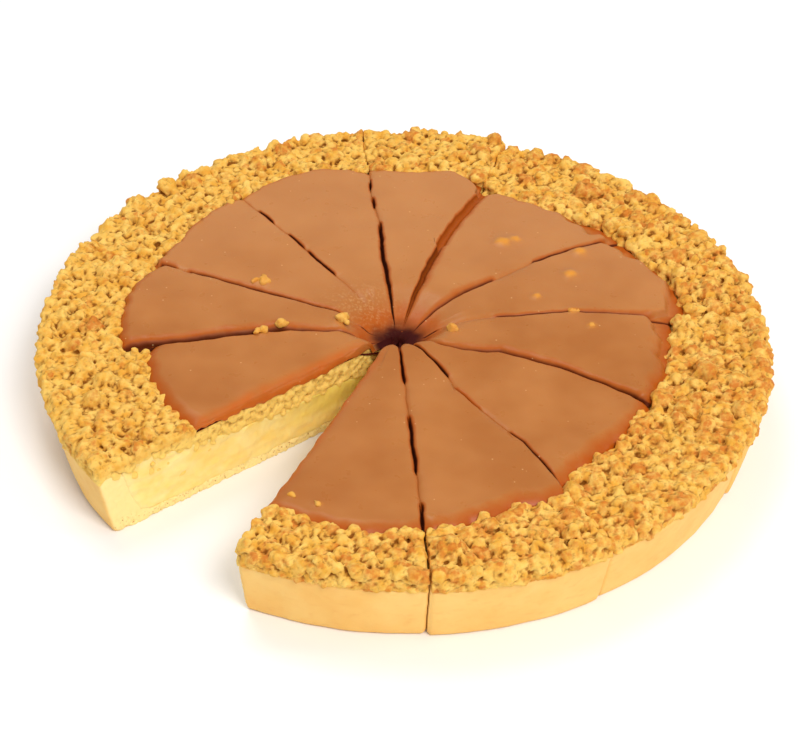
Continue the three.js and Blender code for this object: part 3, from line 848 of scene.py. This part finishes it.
def buildCaramel(material):
    grid = caramelGrid()
    size = grid["heading"].shape
    place = cutCentre + direction(grid["heading"]) * grid["distance"][..., None]
    spots = flat(place[..., 0].ravel(), place[..., 1].ravel())

    def noiseOver(grain, shift):
        return softNoise(spots, grain, shift).reshape(size)

    def tableOver(name):
        headings, *columns = np.array(caramel[name]).T
        return [np.interp(grid["heading"], headings, column) for column in columns]

    height, lump, rough = pouredTop(grid, place, noiseOver)
    height, flankShade, deep = alongCuts(grid, height)
    height, edgeTone = atMargin(grid, height, noiseOver, *tableOver("margins"))
    height, nearPit, pitShadow = intoPit(grid, place, height, noiseOver, *tableOver("pit"))
    # the margin tone also paints shade on the cut flanks and down into the pit
    tone = np.maximum.reduce([0.95 * edgeTone, flankShade, 0.9 * smooth(nearPit, 0.15, 0.9)])
    # painted sheen: the caramel is coloured paler towards the back
    back = 0.5 * smooth(place[..., 1] + 12 * noiseOver(30, 24), -20, 80)
    shades = {"marginAndShade": np.clip(tone, 0, 1), "deep": np.clip(np.maximum(deep, pitShadow), 0, 1), "lip": 0 * height,
              "lump": lump, "rough": rough, "back": back}
    points = np.concatenate([place, height[..., None]], axis=2)

    atFace = len(caramel["stations"])
    for columns in (slice(0, atFace), slice(size[1] - atFace, size[1])):
        rollToFace(grid, points, shades, noiseOver, columns)
    first, firstTone = lipOver(grid, points, 0, portions[0].openFace)
    last, lastTone = lipOver(grid, points, size[1] - 1, portions[-1].openFace)
    points = np.concatenate([first[:, ::-1], points, last], axis=1)
    lip = first.shape[1]
    # the lip's columns near the tip are painted in shade
    atTip = 1 - smooth(grid["distance"][:, :1], 8, 12) + 0 * firstTone
    for key in shades:
        extra = (firstTone[:, ::-1], lastTone) if key == "lip" else (atTip * (key == "deep"),) * 2
        shades[key] = np.concatenate([extra[0], shades[key], extra[1]], axis=1)

    under = underSheet(grid, points, lip)
    points = np.concatenate([under, points])
    for key in shades:
        # the underside and the hole's wall are painted fully in shade
        below = np.full(under.shape[:2], 1.0 if key == "deep" else 0.0)
        shades[key] = np.concatenate([below, shades[key]])
    rows, columns = points.shape[:2]
    quads = gridFaces(rows, columns)

    # the pit's floor goes on across the missing portion's tip
    edge = int(np.searchsorted(grid["distance"][:, 0], caramel["bridge"])) + len(under)
    sides = points[4:edge, [lip, -1 - lip]]
    bridge = lerp(sides[:, :1], sides[:, 1:], np.linspace(0, 1, 7)[None, :, None])
    curtain = bridge[-1:] * (1, 1, 0) + (0, 0, caramel["holeBottom"])
    bridge = np.concatenate([bridge, curtain])[:, ::-1]
    quads = np.concatenate([quads, gridFaces(*bridge.shape[:2]) + rows * columns])
    points = np.concatenate([points.reshape(-1, 3), bridge.reshape(-1, 3)])
    # the bridge is painted in shade: the margin tone and the deep shade
    for key in shades:
        more = np.full(bridge.shape[0] * bridge.shape[1], 0.9 if key in ("marginAndShade", "deep") else 0.0)
        shades[key] = np.concatenate([shades[key].ravel(), more])
    points[:, :2] += axis
    return makePiece("caramel_sheet", points, [quads], shades, material,
                     [f"caramel_{portion.name}" for portion in portions])


crumble = {
    "grain": 0.56,  # size of the skin's faces
    "quickGrain": 0.9,
    "sunk": 2.9,  # crumbs rest this far under the heap's height
    "filled": 1.5,  # how far the core stands round them
    "clumps": (1.5, 10.0),  # rise and size of the heap's own hills
    "shoulder": (133, 7.6, 26.6),  # the heap rounds down from this radius, over this width, to this height
    # its underside, as radius and height
    "under": [(5, 19.65), (70, 20.65), (95, 23.85), (115, 28.3), (124, 27.7), (130, 27.1), (137, 27.3),
              (140.4, 26.2)],
    # heading, radius, width and toasting of the lumps that stand out
    "largeLumps": [
        (8.9, 126.5, 11.5, 0.6), (40.6, 112, 8, 0.4), (46, 111, 8.5, 0.5), (67, 115, 10, 0.5),
        (80, 116, 10.5, 0.5), (98, 131, 9, 0.6), (106, 126, 9, 0.5), (116, 120, 10, 0.6), (123.6, 122, 11, 0.5),
        (142, 124, 10.5, 0.8), (153.9, 117, 9, 0.9), (165, 130, 9, 0.6), (178.5, 136, 9.5, 1.1),
        (201.7, 136, 10, 0.9), (208, 129, 9, 0.6),
        (221, 134, 9, 0.8), (236, 133, 9, 0.6), (254, 122, 11, 0.5), (262, 135, 9, 0.6), (271.4, 121, 10, 0.9),
        (276, 128, 9, 0.8), (288, 118, 9, 0.4), (345, 125, 9, 0.5), (356, 130, 8, 0.5), (24, 125, 8, 0.4),
    ],
    # how many in a portion, and their widths
    "sizes": [(24, 6.5, 9.6), (50, 4.8, 6.5), (50, 3.4, 4.8), (50, 2.3, 3.4)],
    "rimCrumbs": (80, 2.0, 4.6),  # on the outer slope, down to the pastry
    "faceCrumbs": (0.17, 2.0, 4.4),  # per square millimetre of an open face, and their widths
    "chips": (12, 0.6, 0.92),  # flats knocked off a crumb, and their distance from its middle
    "ballLevels": [(0, 2.6, 2), (2.6, 5.2, 3), (5.2, 99, 4)],  # from and to a width, and how fine a ball
    "proud": 0.9,  # how far crumbs stand out of an open face
    "crack": (0.8, 3.6),  # how far and how often a knife's cut wanders between the crumbs
    # how far a portion's crumbs lean over each knife line, which hides the cut
    "cover": [0, 0.05, 0.6, 0.8, 0.7, 0.7, 0.9, 0.45, 0.6, 0.6, 0.5, 0],
    "sideToast": (65, 0.17),  # the heading that is browned more, and by how much
    "creases": [(0.4, 3.0), (0.34, 1.4)],  # height and size of the skin's grains, with creases between them
    "creaseDepth": 0.16,
    # crumbs caught in the caramel: heading, radius, width and how far they are coated
    "strays": [
        (145.8, 70.3, 6.4, 0.9), (143.6, 75, 4.2, 0.9), (126.3, 87.3, 5.2, 0.95), (118.9, 75.2, 5.2, 0.95),
        (112.6, 56.6, 3.8, 0.9), (100.6, 67.2, 4.6, 0.7), (92.3, 73.2, 3.8, 0.6), (88.8, 18.7, 5.0, 0.5),
        (262.5, 24.2, 6.8, 0.3), (270.4, 47.5, 5.4, 0.4), (274.7, 54.4, 5.0, 0.4), (243.8, 62.5, 5.4, 0.6),
        (344.7, 109.4, 3.4, 0.4), (339, 108, 3.2, 0.3),
    ],
}
balls = {level: ballMesh(level) for _, _, level in crumble["ballLevels"]}


def heapHeight(portion, points):
    # upper side of the heap of crumbs, before any single crumb
    x, y = points[:, 0], points[:, 1]
    radius = np.hypot(x, y)
    edge = portion.edge(portion.share(x, y))
    height = lerp(cake["crumbleFloor"], cake["heapHeight"], smooth(radius, edge - 1, edge + 8))
    rise, size = crumble["clumps"]
    hills = rise * softNoise(flat(x, y, portion.index * 31.0), size, 21)
    hills += 0.5 * rise * softNoise(flat(x, y, portion.index * 31.0), size * 0.45, 22)
    height = height + hills * smooth(radius, edge - 2, edge + 3)
    start, width, low = crumble["shoulder"]
    over = np.clip((radius - start) / width, 0, 1)
    return lerp(low, height, np.sqrt(1 - over ** 2))


class Heap:
    # heights over a portion, raised as crumbs are laid on it
    def __init__(self, portion):
        self.step = 0.5
        rim = portion.place(np.array([0, 0.5, 1, 0, 1]), np.array([142, 142, 142, 88, 88]))
        self.low = rim.min(0) - 3
        self.shape = tuple(((rim.max(0) + 3 - self.low) / self.step).astype(int))
        x = self.low[0] + np.arange(self.shape[0]) * self.step
        y = self.low[1] + np.arange(self.shape[1]) * self.step
        x, y = np.meshgrid(x, y, indexing="ij")
        self.z = heapHeight(portion, flat(x.ravel(), y.ravel())).reshape(self.shape) - crumble["sunk"]

    def window(self, x, y, radius):
        i, j = int((x - self.low[0]) / self.step), int((y - self.low[1]) / self.step)
        reach = max(1, int(radius / self.step))
        return span(i - reach, i + reach + 1, self.shape[0]), span(j - reach, j + reach + 1, self.shape[1])

    def rest(self, x, y, radius):
        rows, columns = self.window(x, y, radius * 0.6)
        return float(self.z[rows, columns].mean())

    def raiseBy(self, x, y, z, radius):
        rows, columns = self.window(x, y, radius)
        gx = self.low[0] + np.arange(rows.start, rows.stop) * self.step - x
        gy = self.low[1] + np.arange(columns.start, columns.stop) * self.step - y
        apart = (gx[:, None] ** 2 + gy[None, :] ** 2) / radius ** 2
        cap = np.where(apart < 1, z + 0.75 * radius * np.sqrt(np.maximum(1 - apart, 0)), -99)
        self.z[rows, columns] = np.maximum(self.z[rows, columns], cap)


def span(low, high, size):
    return slice(max(0, low), min(size, max(high, 1)))


def block(grid, top, under):
    # closed solid between two heights over a grid of places (rows, columns, 2)
    rows, columns = grid.shape[:2]
    upper = np.concatenate([grid, top[..., None]], axis=2).reshape(-1, 3)
    lower = np.concatenate([grid, under[..., None]], axis=2).reshape(-1, 3)
    index = np.arange(rows * columns).reshape(rows, columns)
    quads = gridFaces(rows, columns)
    border = np.concatenate([index[:-1, 0], index[-1, :-1], index[:0:-1, -1], index[0, :0:-1]])
    after = np.roll(border, -1)
    shift = rows * columns
    walls = np.stack([border, border + shift, after + shift, after], axis=-1)
    return np.concatenate([upper, lower]), np.concatenate([quads, quads[:, ::-1] + shift, walls])


def asTriangles(quads):
    return np.concatenate([quads[:, [0, 1, 2]], quads[:, [0, 2, 3]]])


def ringCore(portion):
    shares = np.linspace(0, 1, 90)
    inner = portion.edge(shares) - 6
    steps = np.sin(np.linspace(0, math.pi / 2, 46))
    radius = inner[None, :] + (140.5 - inner[None, :]) * steps[:, None]
    grid = portion.place(np.broadcast_to(shares, radius.shape), radius)
    spots = flat(grid[..., 0].ravel(), grid[..., 1].ravel())
    top = heapHeight(portion, spots).reshape(radius.shape)
    top -= (crumble["sunk"] - crumble["filled"]) * smooth(-radius, -139, -131)
    under = tableAt(radius, crumble["under"])
    return block(grid, np.maximum(top, under + 0.3), under)


def faceStrip(portion, face, thickness=5.0):
    # the crumble layer just inside an open face, from the tip to the rim
    reach = np.linspace(12, 130, 108)
    aside = np.minimum(thickness, 0.3 * reach)[:, None] * np.linspace(0, 1, 6)[None, :] + face.gap + 0.5
    inward = face.sign * across(face.heading)
    grid = cutCentre + direction(face.heading) * reach[:, None, None] + inward * aside[..., None]
    radius = np.hypot(grid[..., 0], grid[..., 1])
    under = tableAt(radius, crumble["under"])
    edge = portion.edge(0 if face.sign > 0 else 1)
    top = np.where(radius < edge, lerp(26.5, 31.6, smooth(reach, 13, 21))[:, None], 31.2)
    return block(grid, np.maximum(top, under + 0.3), under + 0.1)


def layCrumbs(portion, draw):
    # centres, widths and toasting of all crumbs of a portion
    heap = Heap(portion)
    crumbs = []

    def add(x, y, z, width, toast, coat=0.0):
        crumbs.append((x, y, z, width, toast, coat))

    def lay(x, y, width, toast, sink=0.3):
        z = heap.rest(x, y, width / 2) + sink * width / 2
        heap.raiseBy(x, y, z, width / 2)
        add(x, y, z, width, toast)
        return z

    def lump(x, y, width, toast):
        # a core with smaller crumbs baked onto it
        z = lay(x, y, width * 0.92, toast, 0.45)
        for _ in range(int(7 + 0.7 * width)):
            facing = draw.normal(size=3)
            facing[2] = abs(facing[2]) * 0.9 - 0.15
            facing /= np.linalg.norm(facing)
            size = width * draw.uniform(0.2, 0.42)
            spot = np.array([x, y, z]) + facing * (width * 0.5 - size * 0.45)
            heap.raiseBy(spot[0], spot[1], spot[2], size / 2)
            add(*spot, size, toast + 0.35 * (facing[2] - 0.3) + draw.normal() * 0.12)

    def inReach(x, y, width):
        spot = np.array([[x, y, 0.0]])
        return min(portion.depth(spot, face)[0] for face in portion.faces) > 0.12 * width

    for heading, radius, width, toast in crumble["largeLumps"]:
        share = ((heading - portion.start) % 360) / portion.span
        if share < 1:
            radius = np.clip(radius, portion.edge(share) + 0.5 + width / 2, 143 - width / 2)
            lump(*portion.place(share, radius), width * draw.uniform(0.96, 1.08), toast)
    for count, small, large in crumble["sizes"]:
        for _ in range(count):
            best = None
            tries = 9 if large > 4 else 4 if draw.random() < 0.5 else 1
            for _ in range(tries):
                width = draw.uniform(small, large)
                share = draw.uniform(0, 1)
                edge = portion.edge(share)
                inner = edge - 2.0 if large < 5 else edge + 0.4
                outer = 141.2 - width * 0.35
                x, y = portion.place(share, math.sqrt(draw.uniform(inner ** 2, outer ** 2)))
                if not inReach(x, y, width):
                    continue
                level = heap.rest(x, y, width * 0.8)
                if best is None or level < best[0]:
                    best = (level, x, y, width)
            if best is None:
                continue
            _, x, y, width = best
            toast = draw.beta(1.5, 3.4) + 0.03 * (width - 3)
            if width > 6.2:
                lump(x, y, width, draw.uniform(0.3, 0.7))
            else:
                lay(x, y, width, toast)
    count, small, large = crumble["rimCrumbs"]
    for _ in range(count):
        width = draw.uniform(small, large)
        x, y = portion.place(draw.uniform(0, 1), draw.uniform(136.5, 140.4))
        if inReach(x, y, width):
            z = heapHeight(portion, np.array([[x, y, 0.0]]))[0]
            outwards = min(1 + draw.uniform(-1.0, 1.2) / 140, (142.2 - 0.56 * width) / math.hypot(x, y))
            z = max(z - draw.uniform(0, 2), 26.4 + draw.uniform(0.1, 0.4) * width)
            add(x * outwards, y * outwards, z, width, draw.beta(1.8, 2.4))
    for heading, radius, width, coat in crumble["strays"]:
        share = ((heading - portion.start) % 360) / portion.span
        if share < 1:
            x, y = direction(heading) * radius - portion.slide
            for part in range(0 if coat > 0.8 else 6):
                shift = draw.normal(size=2) * width * (0.24 if part else 0)
                size = width * (draw.uniform(0.34, 0.5) if part else 0.75)
                z = caramel["top"] + (0.16 - 0.1 * coat) * width + (0.1 - 0.3 * coat) * size
                add(x + shift[0], y + shift[1], z, size, 0.3, min(1, coat * draw.uniform(0.8, 1.2)))
    if portion.openFace:
        # crumbs that tumble over the open face
        face = portion.openFace
        density, small, large = crumble["faceCrumbs"]
        for _ in range(int(density * 125 * 12)):
            reach = draw.uniform(10, 138)
            width = draw.uniform(small, large)
            spot = cutCentre + direction(face.heading) * reach
            spot = spot + across(face.heading) * face.sign * (face.gap + draw.uniform(0.02, 0.6) * width)
            radius = math.hypot(*spot)
            spill = 1 + 2.2 * smooth(radius, 50, 105) * smooth(radius, 134, 116)
            low = tableAt(radius, crumble["under"]) + 0.25 * width - draw.exponential(spill)
            top = heapHeight(portion, np.array([[*spot, 0.0]]))[0] - 0.3
            z = draw.uniform(low, max(low + 6, 31))
            if z < top:
                add(*spot, z, width, 0.1 + 0.8 * draw.beta(1.6, 3.0) * (z - low) / 8)
    return np.array(crumbs)


def pebbles(centres, widths, level, draw):
    # chipped and pitted crumbs, all of one fineness at once
    ball, triangles = balls[level]
    count = len(centres)
    points = np.repeat(ball[None], count, axis=0)
    chips, nearest, farthest = crumble["chips"]
    for _ in range(chips):
        facing = draw.normal(size=(count, 3))
        facing /= np.linalg.norm(facing, axis=1)[:, None]
        reach = draw.uniform(nearest, farthest, count)
        over = np.maximum(np.einsum("nvk,nk->nv", points, facing) - reach[:, None], 0)
        points = points - over[..., None] * facing[:, None, :]
    points = points * draw.uniform(0.8, 1.14, (count, 1, 3))
    spins = np.array([np.linalg.qr(draw.normal(size=(3, 3)))[0] for _ in range(count)])
    spins[:, 0] *= np.sign(np.linalg.det(spins))[:, None]
    points = np.einsum("nvk,nkj->nvj", points, spins)
    own = (points + centres[:, None, :] * 3.1).reshape(-1, 3)
    points = points * (widths / 2)[:, None, None]
    places = (points + centres[:, None, :]).reshape(-1, 3)
    swell = 0.13 * softNoise(own, 0.7, 31).reshape(count, -1)
    rough = 0.15 * softNoise(places, 1.15, 32) + 0.2 * softNoise(places, 2.2, 33)
    swell += rough.reshape(count, -1) / (widths / 2)[:, None]
    points = points * 1.15 * (1 + swell)[..., None]
    points[..., 2] *= 0.9
    faces = triangles[None] + (np.arange(count) * len(ball))[:, None, None]
    return (points + centres[:, None, :]).reshape(-1, 3), faces.reshape(-1, 3)


def joined(parts):
    points, faces, offset = [], [], 0
    for partPoints, partFaces in parts:
        points.append(partPoints)
        faces.append(partFaces + offset)
        offset += len(partPoints)
    return np.concatenate(points), np.concatenate(faces)


def nearestCrumb(points, crumbs):
    nearest = np.zeros(len(points), int)
    for start in range(0, len(points), 3000):
        part = points[start:start + 3000]
        apart = np.linalg.norm(part[:, None, :] - crumbs[None, :, :3], axis=2) - crumbs[None, :, 3] / 2
        nearest[start:start + 3000] = apart.argmin(axis=1)
    return nearest


def crumbleSkin(portion, crumbs, draw):
    # the heap and all its crumbs as one skin
    parts = []
    for low, high, level in crumble["ballLevels"]:
        here = crumbs[(crumbs[:, 3] >= low) & (crumbs[:, 3] < high)]
        if len(here):
            parts.append(pebbles(here[:, :3], here[:, 3], level, draw))
    solids = [ringCore(portion)]
    if portion.openFace:
        solids.append(faceStrip(portion, portion.openFace))
    parts += [(points, asTriangles(quads)) for points, quads in solids]
    points, quads = fuse(*joined(parts), crumble["grain"])
    relief = -crumble["creaseDepth"]
    for k, (height, size) in enumerate(crumble["creases"]):
        relief = relief + height * np.abs(softNoise(points, size, 41 + k))
    return points + normalsOf(points, quads) * relief[:, None], quads


def pushBehindCuts(portion, points):
    # both sides of a cut follow the same crack between the crumbs
    wander, grain = crumble["crack"]
    for face in portion.faces:
        depth = portion.depth(points, face)
        if face.isOpen:
            limit = 0.6 * softNoise(points, 3.5, 43) - crumble["proud"]
        else:
            offset = points[:, :2] - cutCentre
            along = flat(offset @ direction(face.heading), points[:, 2], face.knife * 29.0)
            limit = face.sign * (wander * softNoise(along, grain, 46) + 0.35 * softNoise(along, 1.3, 47))
            limit = limit - crumble["cover"][face.knife]
        points[:, :2] += across(face.heading) * face.sign * np.maximum(limit - depth, 0)[:, None]


def crumbleTones(portion, points, quads, crumbs):
    # what the finish needs to know of every point
    normals = normalsOf(points, quads)
    near = relaxed(points, quads, 5)
    far = relaxed(near, quads, 16)
    hollow = np.einsum("ij,ij->i", near - points, normals)
    valley = np.einsum("ij,ij->i", far - points, normals)
    # painted crevice shade: hollows and valleys of the skin are coloured darker
    paintedCreviceShade = np.clip(0.45 * smooth(hollow, 0.01, 0.15) + 0.9 * smooth(valley, 0.12, 0.8), 0, 1)
    crumb = crumbs[nearestCrumb(points, crumbs)]
    patch = 0.16 * softNoise(points, 11, 45) + 0.14 * softNoise(points, 3, 44)
    heading = np.degrees(np.arctan2(points[:, 0], -points[:, 1])) % 360
    patch += crumble["sideToast"][1] * np.cos(np.radians(heading - crumble["sideToast"][0]))
    toast = crumb[:, 4] + patch + 0.22 * smooth(-valley, 0.2, 1.1) + 0.12 * (normals[:, 2] - 0.4)
    inside = np.zeros(len(points))
    if portion.openFace:
        depth = portion.depth(points, portion.openFace) + 0.8 * softNoise(points, 3, 48)
        inside = 0.8 * (1 - smooth(depth, 1.0, 3.2)) * (1 - smooth(points[:, 2], 28.5, 31.5))
    return {"toast": np.clip(toast, 0, 1), "paintedCreviceShade": paintedCreviceShade * (1 - 0.5 * inside), "coat": crumb[:, 5],
            "inside": inside}


def sheetUnderCaramel(portion):
    shares = np.linspace(0, 1, 7)
    outer = portion.edge(shares) - 5.2
    radius = 7 + (outer[None, :] - 7) * np.linspace(0, 1, 9)[:, None]
    grid = portion.place(np.broadcast_to(shares, radius.shape), radius)
    if portion.openFace:
        grid = grid + across(portion.openFace.heading) * portion.openFace.sign * 0.9
    radius = np.hypot(grid[..., 0], grid[..., 1])
    sunkAtTip = 4 * (1 - smooth(radius, 10, 20))
    return block(grid, cake["crumbleFloor"] + 0.05 - sunkAtTip, tableAt(radius, crumble["under"]))


def buildCrumble(portion, material):
    draw = np.random.default_rng(900 + portion.index)
    crumbs = layCrumbs(portion, draw)
    points, quads = crumbleSkin(portion, crumbs, draw)
    pushBehindCuts(portion, points)
    shades = crumbleTones(portion, points, quads, crumbs)
    sheet, sheetQuads = sheetUnderCaramel(portion)
    allPoints = np.concatenate([points, sheet])
    allQuads = np.concatenate([quads, sheetQuads + len(points)])
    # the sheet under the caramel gets 0.2 of every tone, a little painted crevice shade among them
    shades = {key: np.concatenate([values, np.full(len(sheet), 0.2)]) for key, values in shades.items()}
    return makePiece(f"crumbs_{portion.name}", portion.settle(allPoints), [allQuads], shades,
                     material, [f"crumble_{portion.name}"])


crust = {
    # outer and inner side of the wall, from the foot up and back down to the base
    "wall": [(130, 0), (133.2, 0.05), (134.4, 0.6), (135.2, 2.2), (137.6, 13.5), (139.7, 23.6), (140.2, 25.8),
             (139.6, 27.2), (137.4, 28.0), (132, 27.6), (129.3, 25.5), (126.3, 14), (122.5, 6.4), (118, 4)],
    "openGrain": 0.55,  # size of the faces on the two open portions
    "uneven": (0.55, 34.0),  # depth and size of the wall's waves
    "dimples": (0.22, 7.0),
    "cornerRound": 0.8,
    "footRound": 0.9,  # how much further the corner draws back at the foot
    "joint": (0.14, 0.2, 3.0),  # what stays open of a cut each side, and how far and how often it wanders
}


def rounded(outline, rounds=2):
    # corners cut again and again, ends kept
    line = np.array(outline, float)
    for _ in range(rounds):
        a, b = line[:-1], line[1:]
        cut = np.stack([lerp(a, b, 0.25), lerp(a, b, 0.75)], axis=1).reshape(-1, 2)
        line = np.concatenate([line[:1], cut, line[-1:]])
    return line


def denser(line, spacing):
    points = [line[0]]
    for a, b in zip(line[:-1], line[1:]):
        steps = max(1, int(math.ceil(math.dist(a, b) / spacing)))
        points += [lerp(a, b, step / steps) for step in range(1, steps + 1)]
    return np.array(points)


def sweep(portion, outlines, shares):
    # outlines: (columns, points, 2), one loop of radius and height for each share
    columns, size = outlines.shape[:2]
    places = portion.place(np.broadcast_to(shares[:, None], (columns, size)), outlines[..., 0])
    points = np.concatenate([places, outlines[..., 1:]], axis=2).reshape(-1, 3)
    index = np.arange(columns * size).reshape(columns, size)
    after = np.roll(index, -1, axis=1)
    quads = np.stack([index[:-1], index[1:], after[1:], after[:-1]], axis=-1).reshape(-1, 4)
    caps = []
    for column, flip in ((0, False), (columns - 1, True)):
        loop = [Vector((*point, 0)) for point in outlines[column]]
        cap = np.array(tessellate_polygon([loop]))
        sides = outlines[column][cap]
        turn = np.cross(sides[:, 1] - sides[:, 0], sides[:, 2] - sides[:, 0])
        cap[(turn < 0) != flip] = cap[(turn < 0) != flip][:, ::-1]
        caps.append(index[column][cap])
    return points, quads, np.concatenate(caps)


def tipOf(shares):
    return cake["pit"] + cake["tipRounding"] * (2 * shares - 1) ** 2


def crustShape(portion):
    wall = denser(rounded(crust["wall"]), 1.6)
    width = cake["rimRadius"] * math.radians(portion.span)
    edgeShares = np.array([0, 0.2, 0.5, 0.95, 1.6, 2.6]) / width
    shares = np.concatenate([edgeShares, np.linspace(0.04, 0.96, 26), 1 - edgeShares[::-1]])
    along = np.linspace(0, 1, 29)[:, None]
    outlines = []
    for tip in tipOf(shares):
        base = lerp(wall[-1], np.array([tip, cake["base"]]), along[1:])
        foot = lerp(np.array([tip, 0.0]), wall[0], along[:-1])
        outlines.append(np.concatenate([foot, wall, base]))
    outlines = np.array(outlines)
    # rounded corners beside the cuts, and the baked wall's own unevenness
    toCut = np.minimum(shares, 1 - shares) * width
    back = (1 - smooth(toCut, 0, 1.3)) ** 1.5
    outside = smooth(outlines[..., 0], 126, 133)
    lower = 1 - smooth(outlines[..., 1], 0, 4.5)
    outlines[..., 0] -= back[:, None] * outside * (crust["cornerRound"] + crust["footRound"] * lower)
    places = portion.place(np.broadcast_to(shares[:, None], outlines.shape[:2]), outlines[..., 0])
    spots = np.concatenate([places, outlines[..., 1:]], axis=2).reshape(-1, 3)
    uneven = crust["uneven"][0] * softNoise(spots * (1, 1, 0.6), crust["uneven"][1], 51)
    uneven += crust["dimples"][0] * softNoise(spots, crust["dimples"][1], 52)
    uneven += 0.07 * softNoise(spots, 2.2, 53)
    outlines[..., 0] += outside * (uneven.reshape(outlines.shape[:2]) - 0.2)
    points, quads, caps = sweep(portion, outlines, shares)
    # the cuts stay open by a thin line that wanders
    left, wander, grain = crust["joint"]
    depths = [portion.depth(points, face) for face in portion.faces]
    for face, depth in zip(portion.faces, depths):
        if not face.isOpen:
            offset = points[:, :2] - cutCentre
            along = flat(offset @ direction(face.heading), points[:, 2], face.knife * 17.0)
            shift = left - face.gap + face.sign * wander * softNoise(along, grain, 54)
            shift = shift * (1 - smooth(depth, 0.05, 0.5)) * smooth(points[:, 2], -9, 1)
            points[:, :2] += across(face.heading) * face.sign * shift[:, None]
    return points, quads, caps


def fillingShape(portion):
    sink = filling["sink"]
    low = cake["base"] - sink
    crest = cake["crest"][:0:-1]
    wall = [(118, low), (122.5 + sink, 6.4 - sink), (126.3 + sink, 13.8), (129.5 + sink, 25.5)]
    shares = np.linspace(0, 1, 26)
    outlines = [[(tip, low), *wall, *crest, (tip, cake["crest"][0][1])] for tip in tipOf(shares)]
    return sweep(portion, np.array(outlines), shares)


def buildCrust(portion, material):
    points, quads, caps = crustShape(portion)
    cut = np.zeros(len(points))
    pores = np.zeros(len(points))
    faces = [quads, caps]
    face = portion.openFace
    if face:
        grain = crust["openGrain"]
        points, quads = fuse(points, np.concatenate([asTriangles(quads), caps]), grain)
        points = relaxed(points, quads, 1)
        depth = portion.depth(points, face)
        onFace = 1 - smooth(depth, 0.1, 0.9)
        base = onFace * (1 - smooth(points[:, 2], 4.2, 7))
        pits = np.clip(softNoise(points, 1.5, 61) + 0.5 * softNoise(points, 0.8, 62), -0.2, 1)
        broken = 0.45 * softNoise(points, 9, 63) + 0.25 * softNoise(points, 3, 64)
        inward = base * (0.75 * pits + broken + 0.1) + (onFace - base) * (0.22 * pits + 0.4 * broken)
        points[:, :2] += across(face.heading) * face.sign * inward[:, None]
        ragged = np.clip(0.9 * softNoise(points, 3, 65), 0, 0.8)  # the foot of the cut
        points[:, 2] += onFace * (1 - smooth(points[:, 2], 0.2, 2.4)) * ragged
        cut = onFace
        pores = np.clip(base * (0.4 + 1.4 * smooth(pits, 0.05, 0.4)), 0, 1)
        faces = [quads]
    return makePiece(f"pastry_{portion.name}", portion.settle(points), faces, {"cut": cut, "pores": pores},
                     material, [f"crust_{portion.name}"])


filling = {
    "grain": 0.7,  # size of the skin's faces
    "sink": 0.5,  # how far it goes into the pastry, so that no gap shows between them
    "layers": 0.6,  # how far the layers and the pieces of apple stand out of the cut
    "chunks": 0.55,
}


def buildFilling(portion, material):
    # only the two portions beside the gap show their filling
    points, quads, caps = fillingShape(portion)
    grain = filling["grain"]
    points, quads = fuse(points, np.concatenate([asTriangles(quads), caps]), grain)
    face = portion.openFace
    onFace = 1 - smooth(portion.depth(points, face), 0.2, 1.6)
    layers = softNoise(points * (1, 1, 3.0), 11, 71)
    chunks = np.maximum(softNoise(points * (1, 1, 1.4), 6, 72), -0.3)
    fine = softNoise(points, 1.8, 73)
    inward = 0.25 - filling["layers"] * layers - filling["chunks"] * chunks - 0.16 * fine
    points[:, :2] += across(face.heading) * face.sign * (np.maximum(inward, -0.5) * onFace)[:, None]
    points[:, 2] += (0.9 * softNoise(points, 5, 74) + 0.5) * onFace * smooth(points[:, 2], 14, 18)
    radius = np.hypot(points[:, 0], points[:, 1])
    green = (1 - smooth(radius, 30, 78)) * smooth(points[:, 2] + 2 * softNoise(points, 9, 75), 8, 15)
    wall = smooth(radius + 0.25 * (26 - points[:, 2]) + 1.5 * softNoise(points, 7, 76), 121, 131)
    shades = {"green": np.clip(0.8 * green, 0, 1), "wall": 0.8 * wall}
    return makePiece(f"apple_{portion.name}", portion.settle(points), [quads], shades, material,
                     [f"filling_{portion.name}"])


addCamera()
addStudio()
print("camera and lights set")
materials = {"caramel": caramelFinish(), "crumble": crumbleFinish(), "crust": crustFinish(),
             "filling": fillingFinish()}
for name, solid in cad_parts.items():
    solid.data.materials.clear()
    solid.data.materials.append(materials[name.split("_")[0]])
for portion in portions:
    buildCrust(portion, materials["crust"])
    if portion.openFace:
        buildFilling(portion, materials["filling"])
print("pastry and filling done")
faceCount = 0
for portion in portions:
    piece = buildCrumble(portion, materials["crumble"])
    faceCount += len(piece.data.polygons)
print("crumble heaped,", faceCount, "faces")
buildCaramel(materials["caramel"])
print("caramel poured")
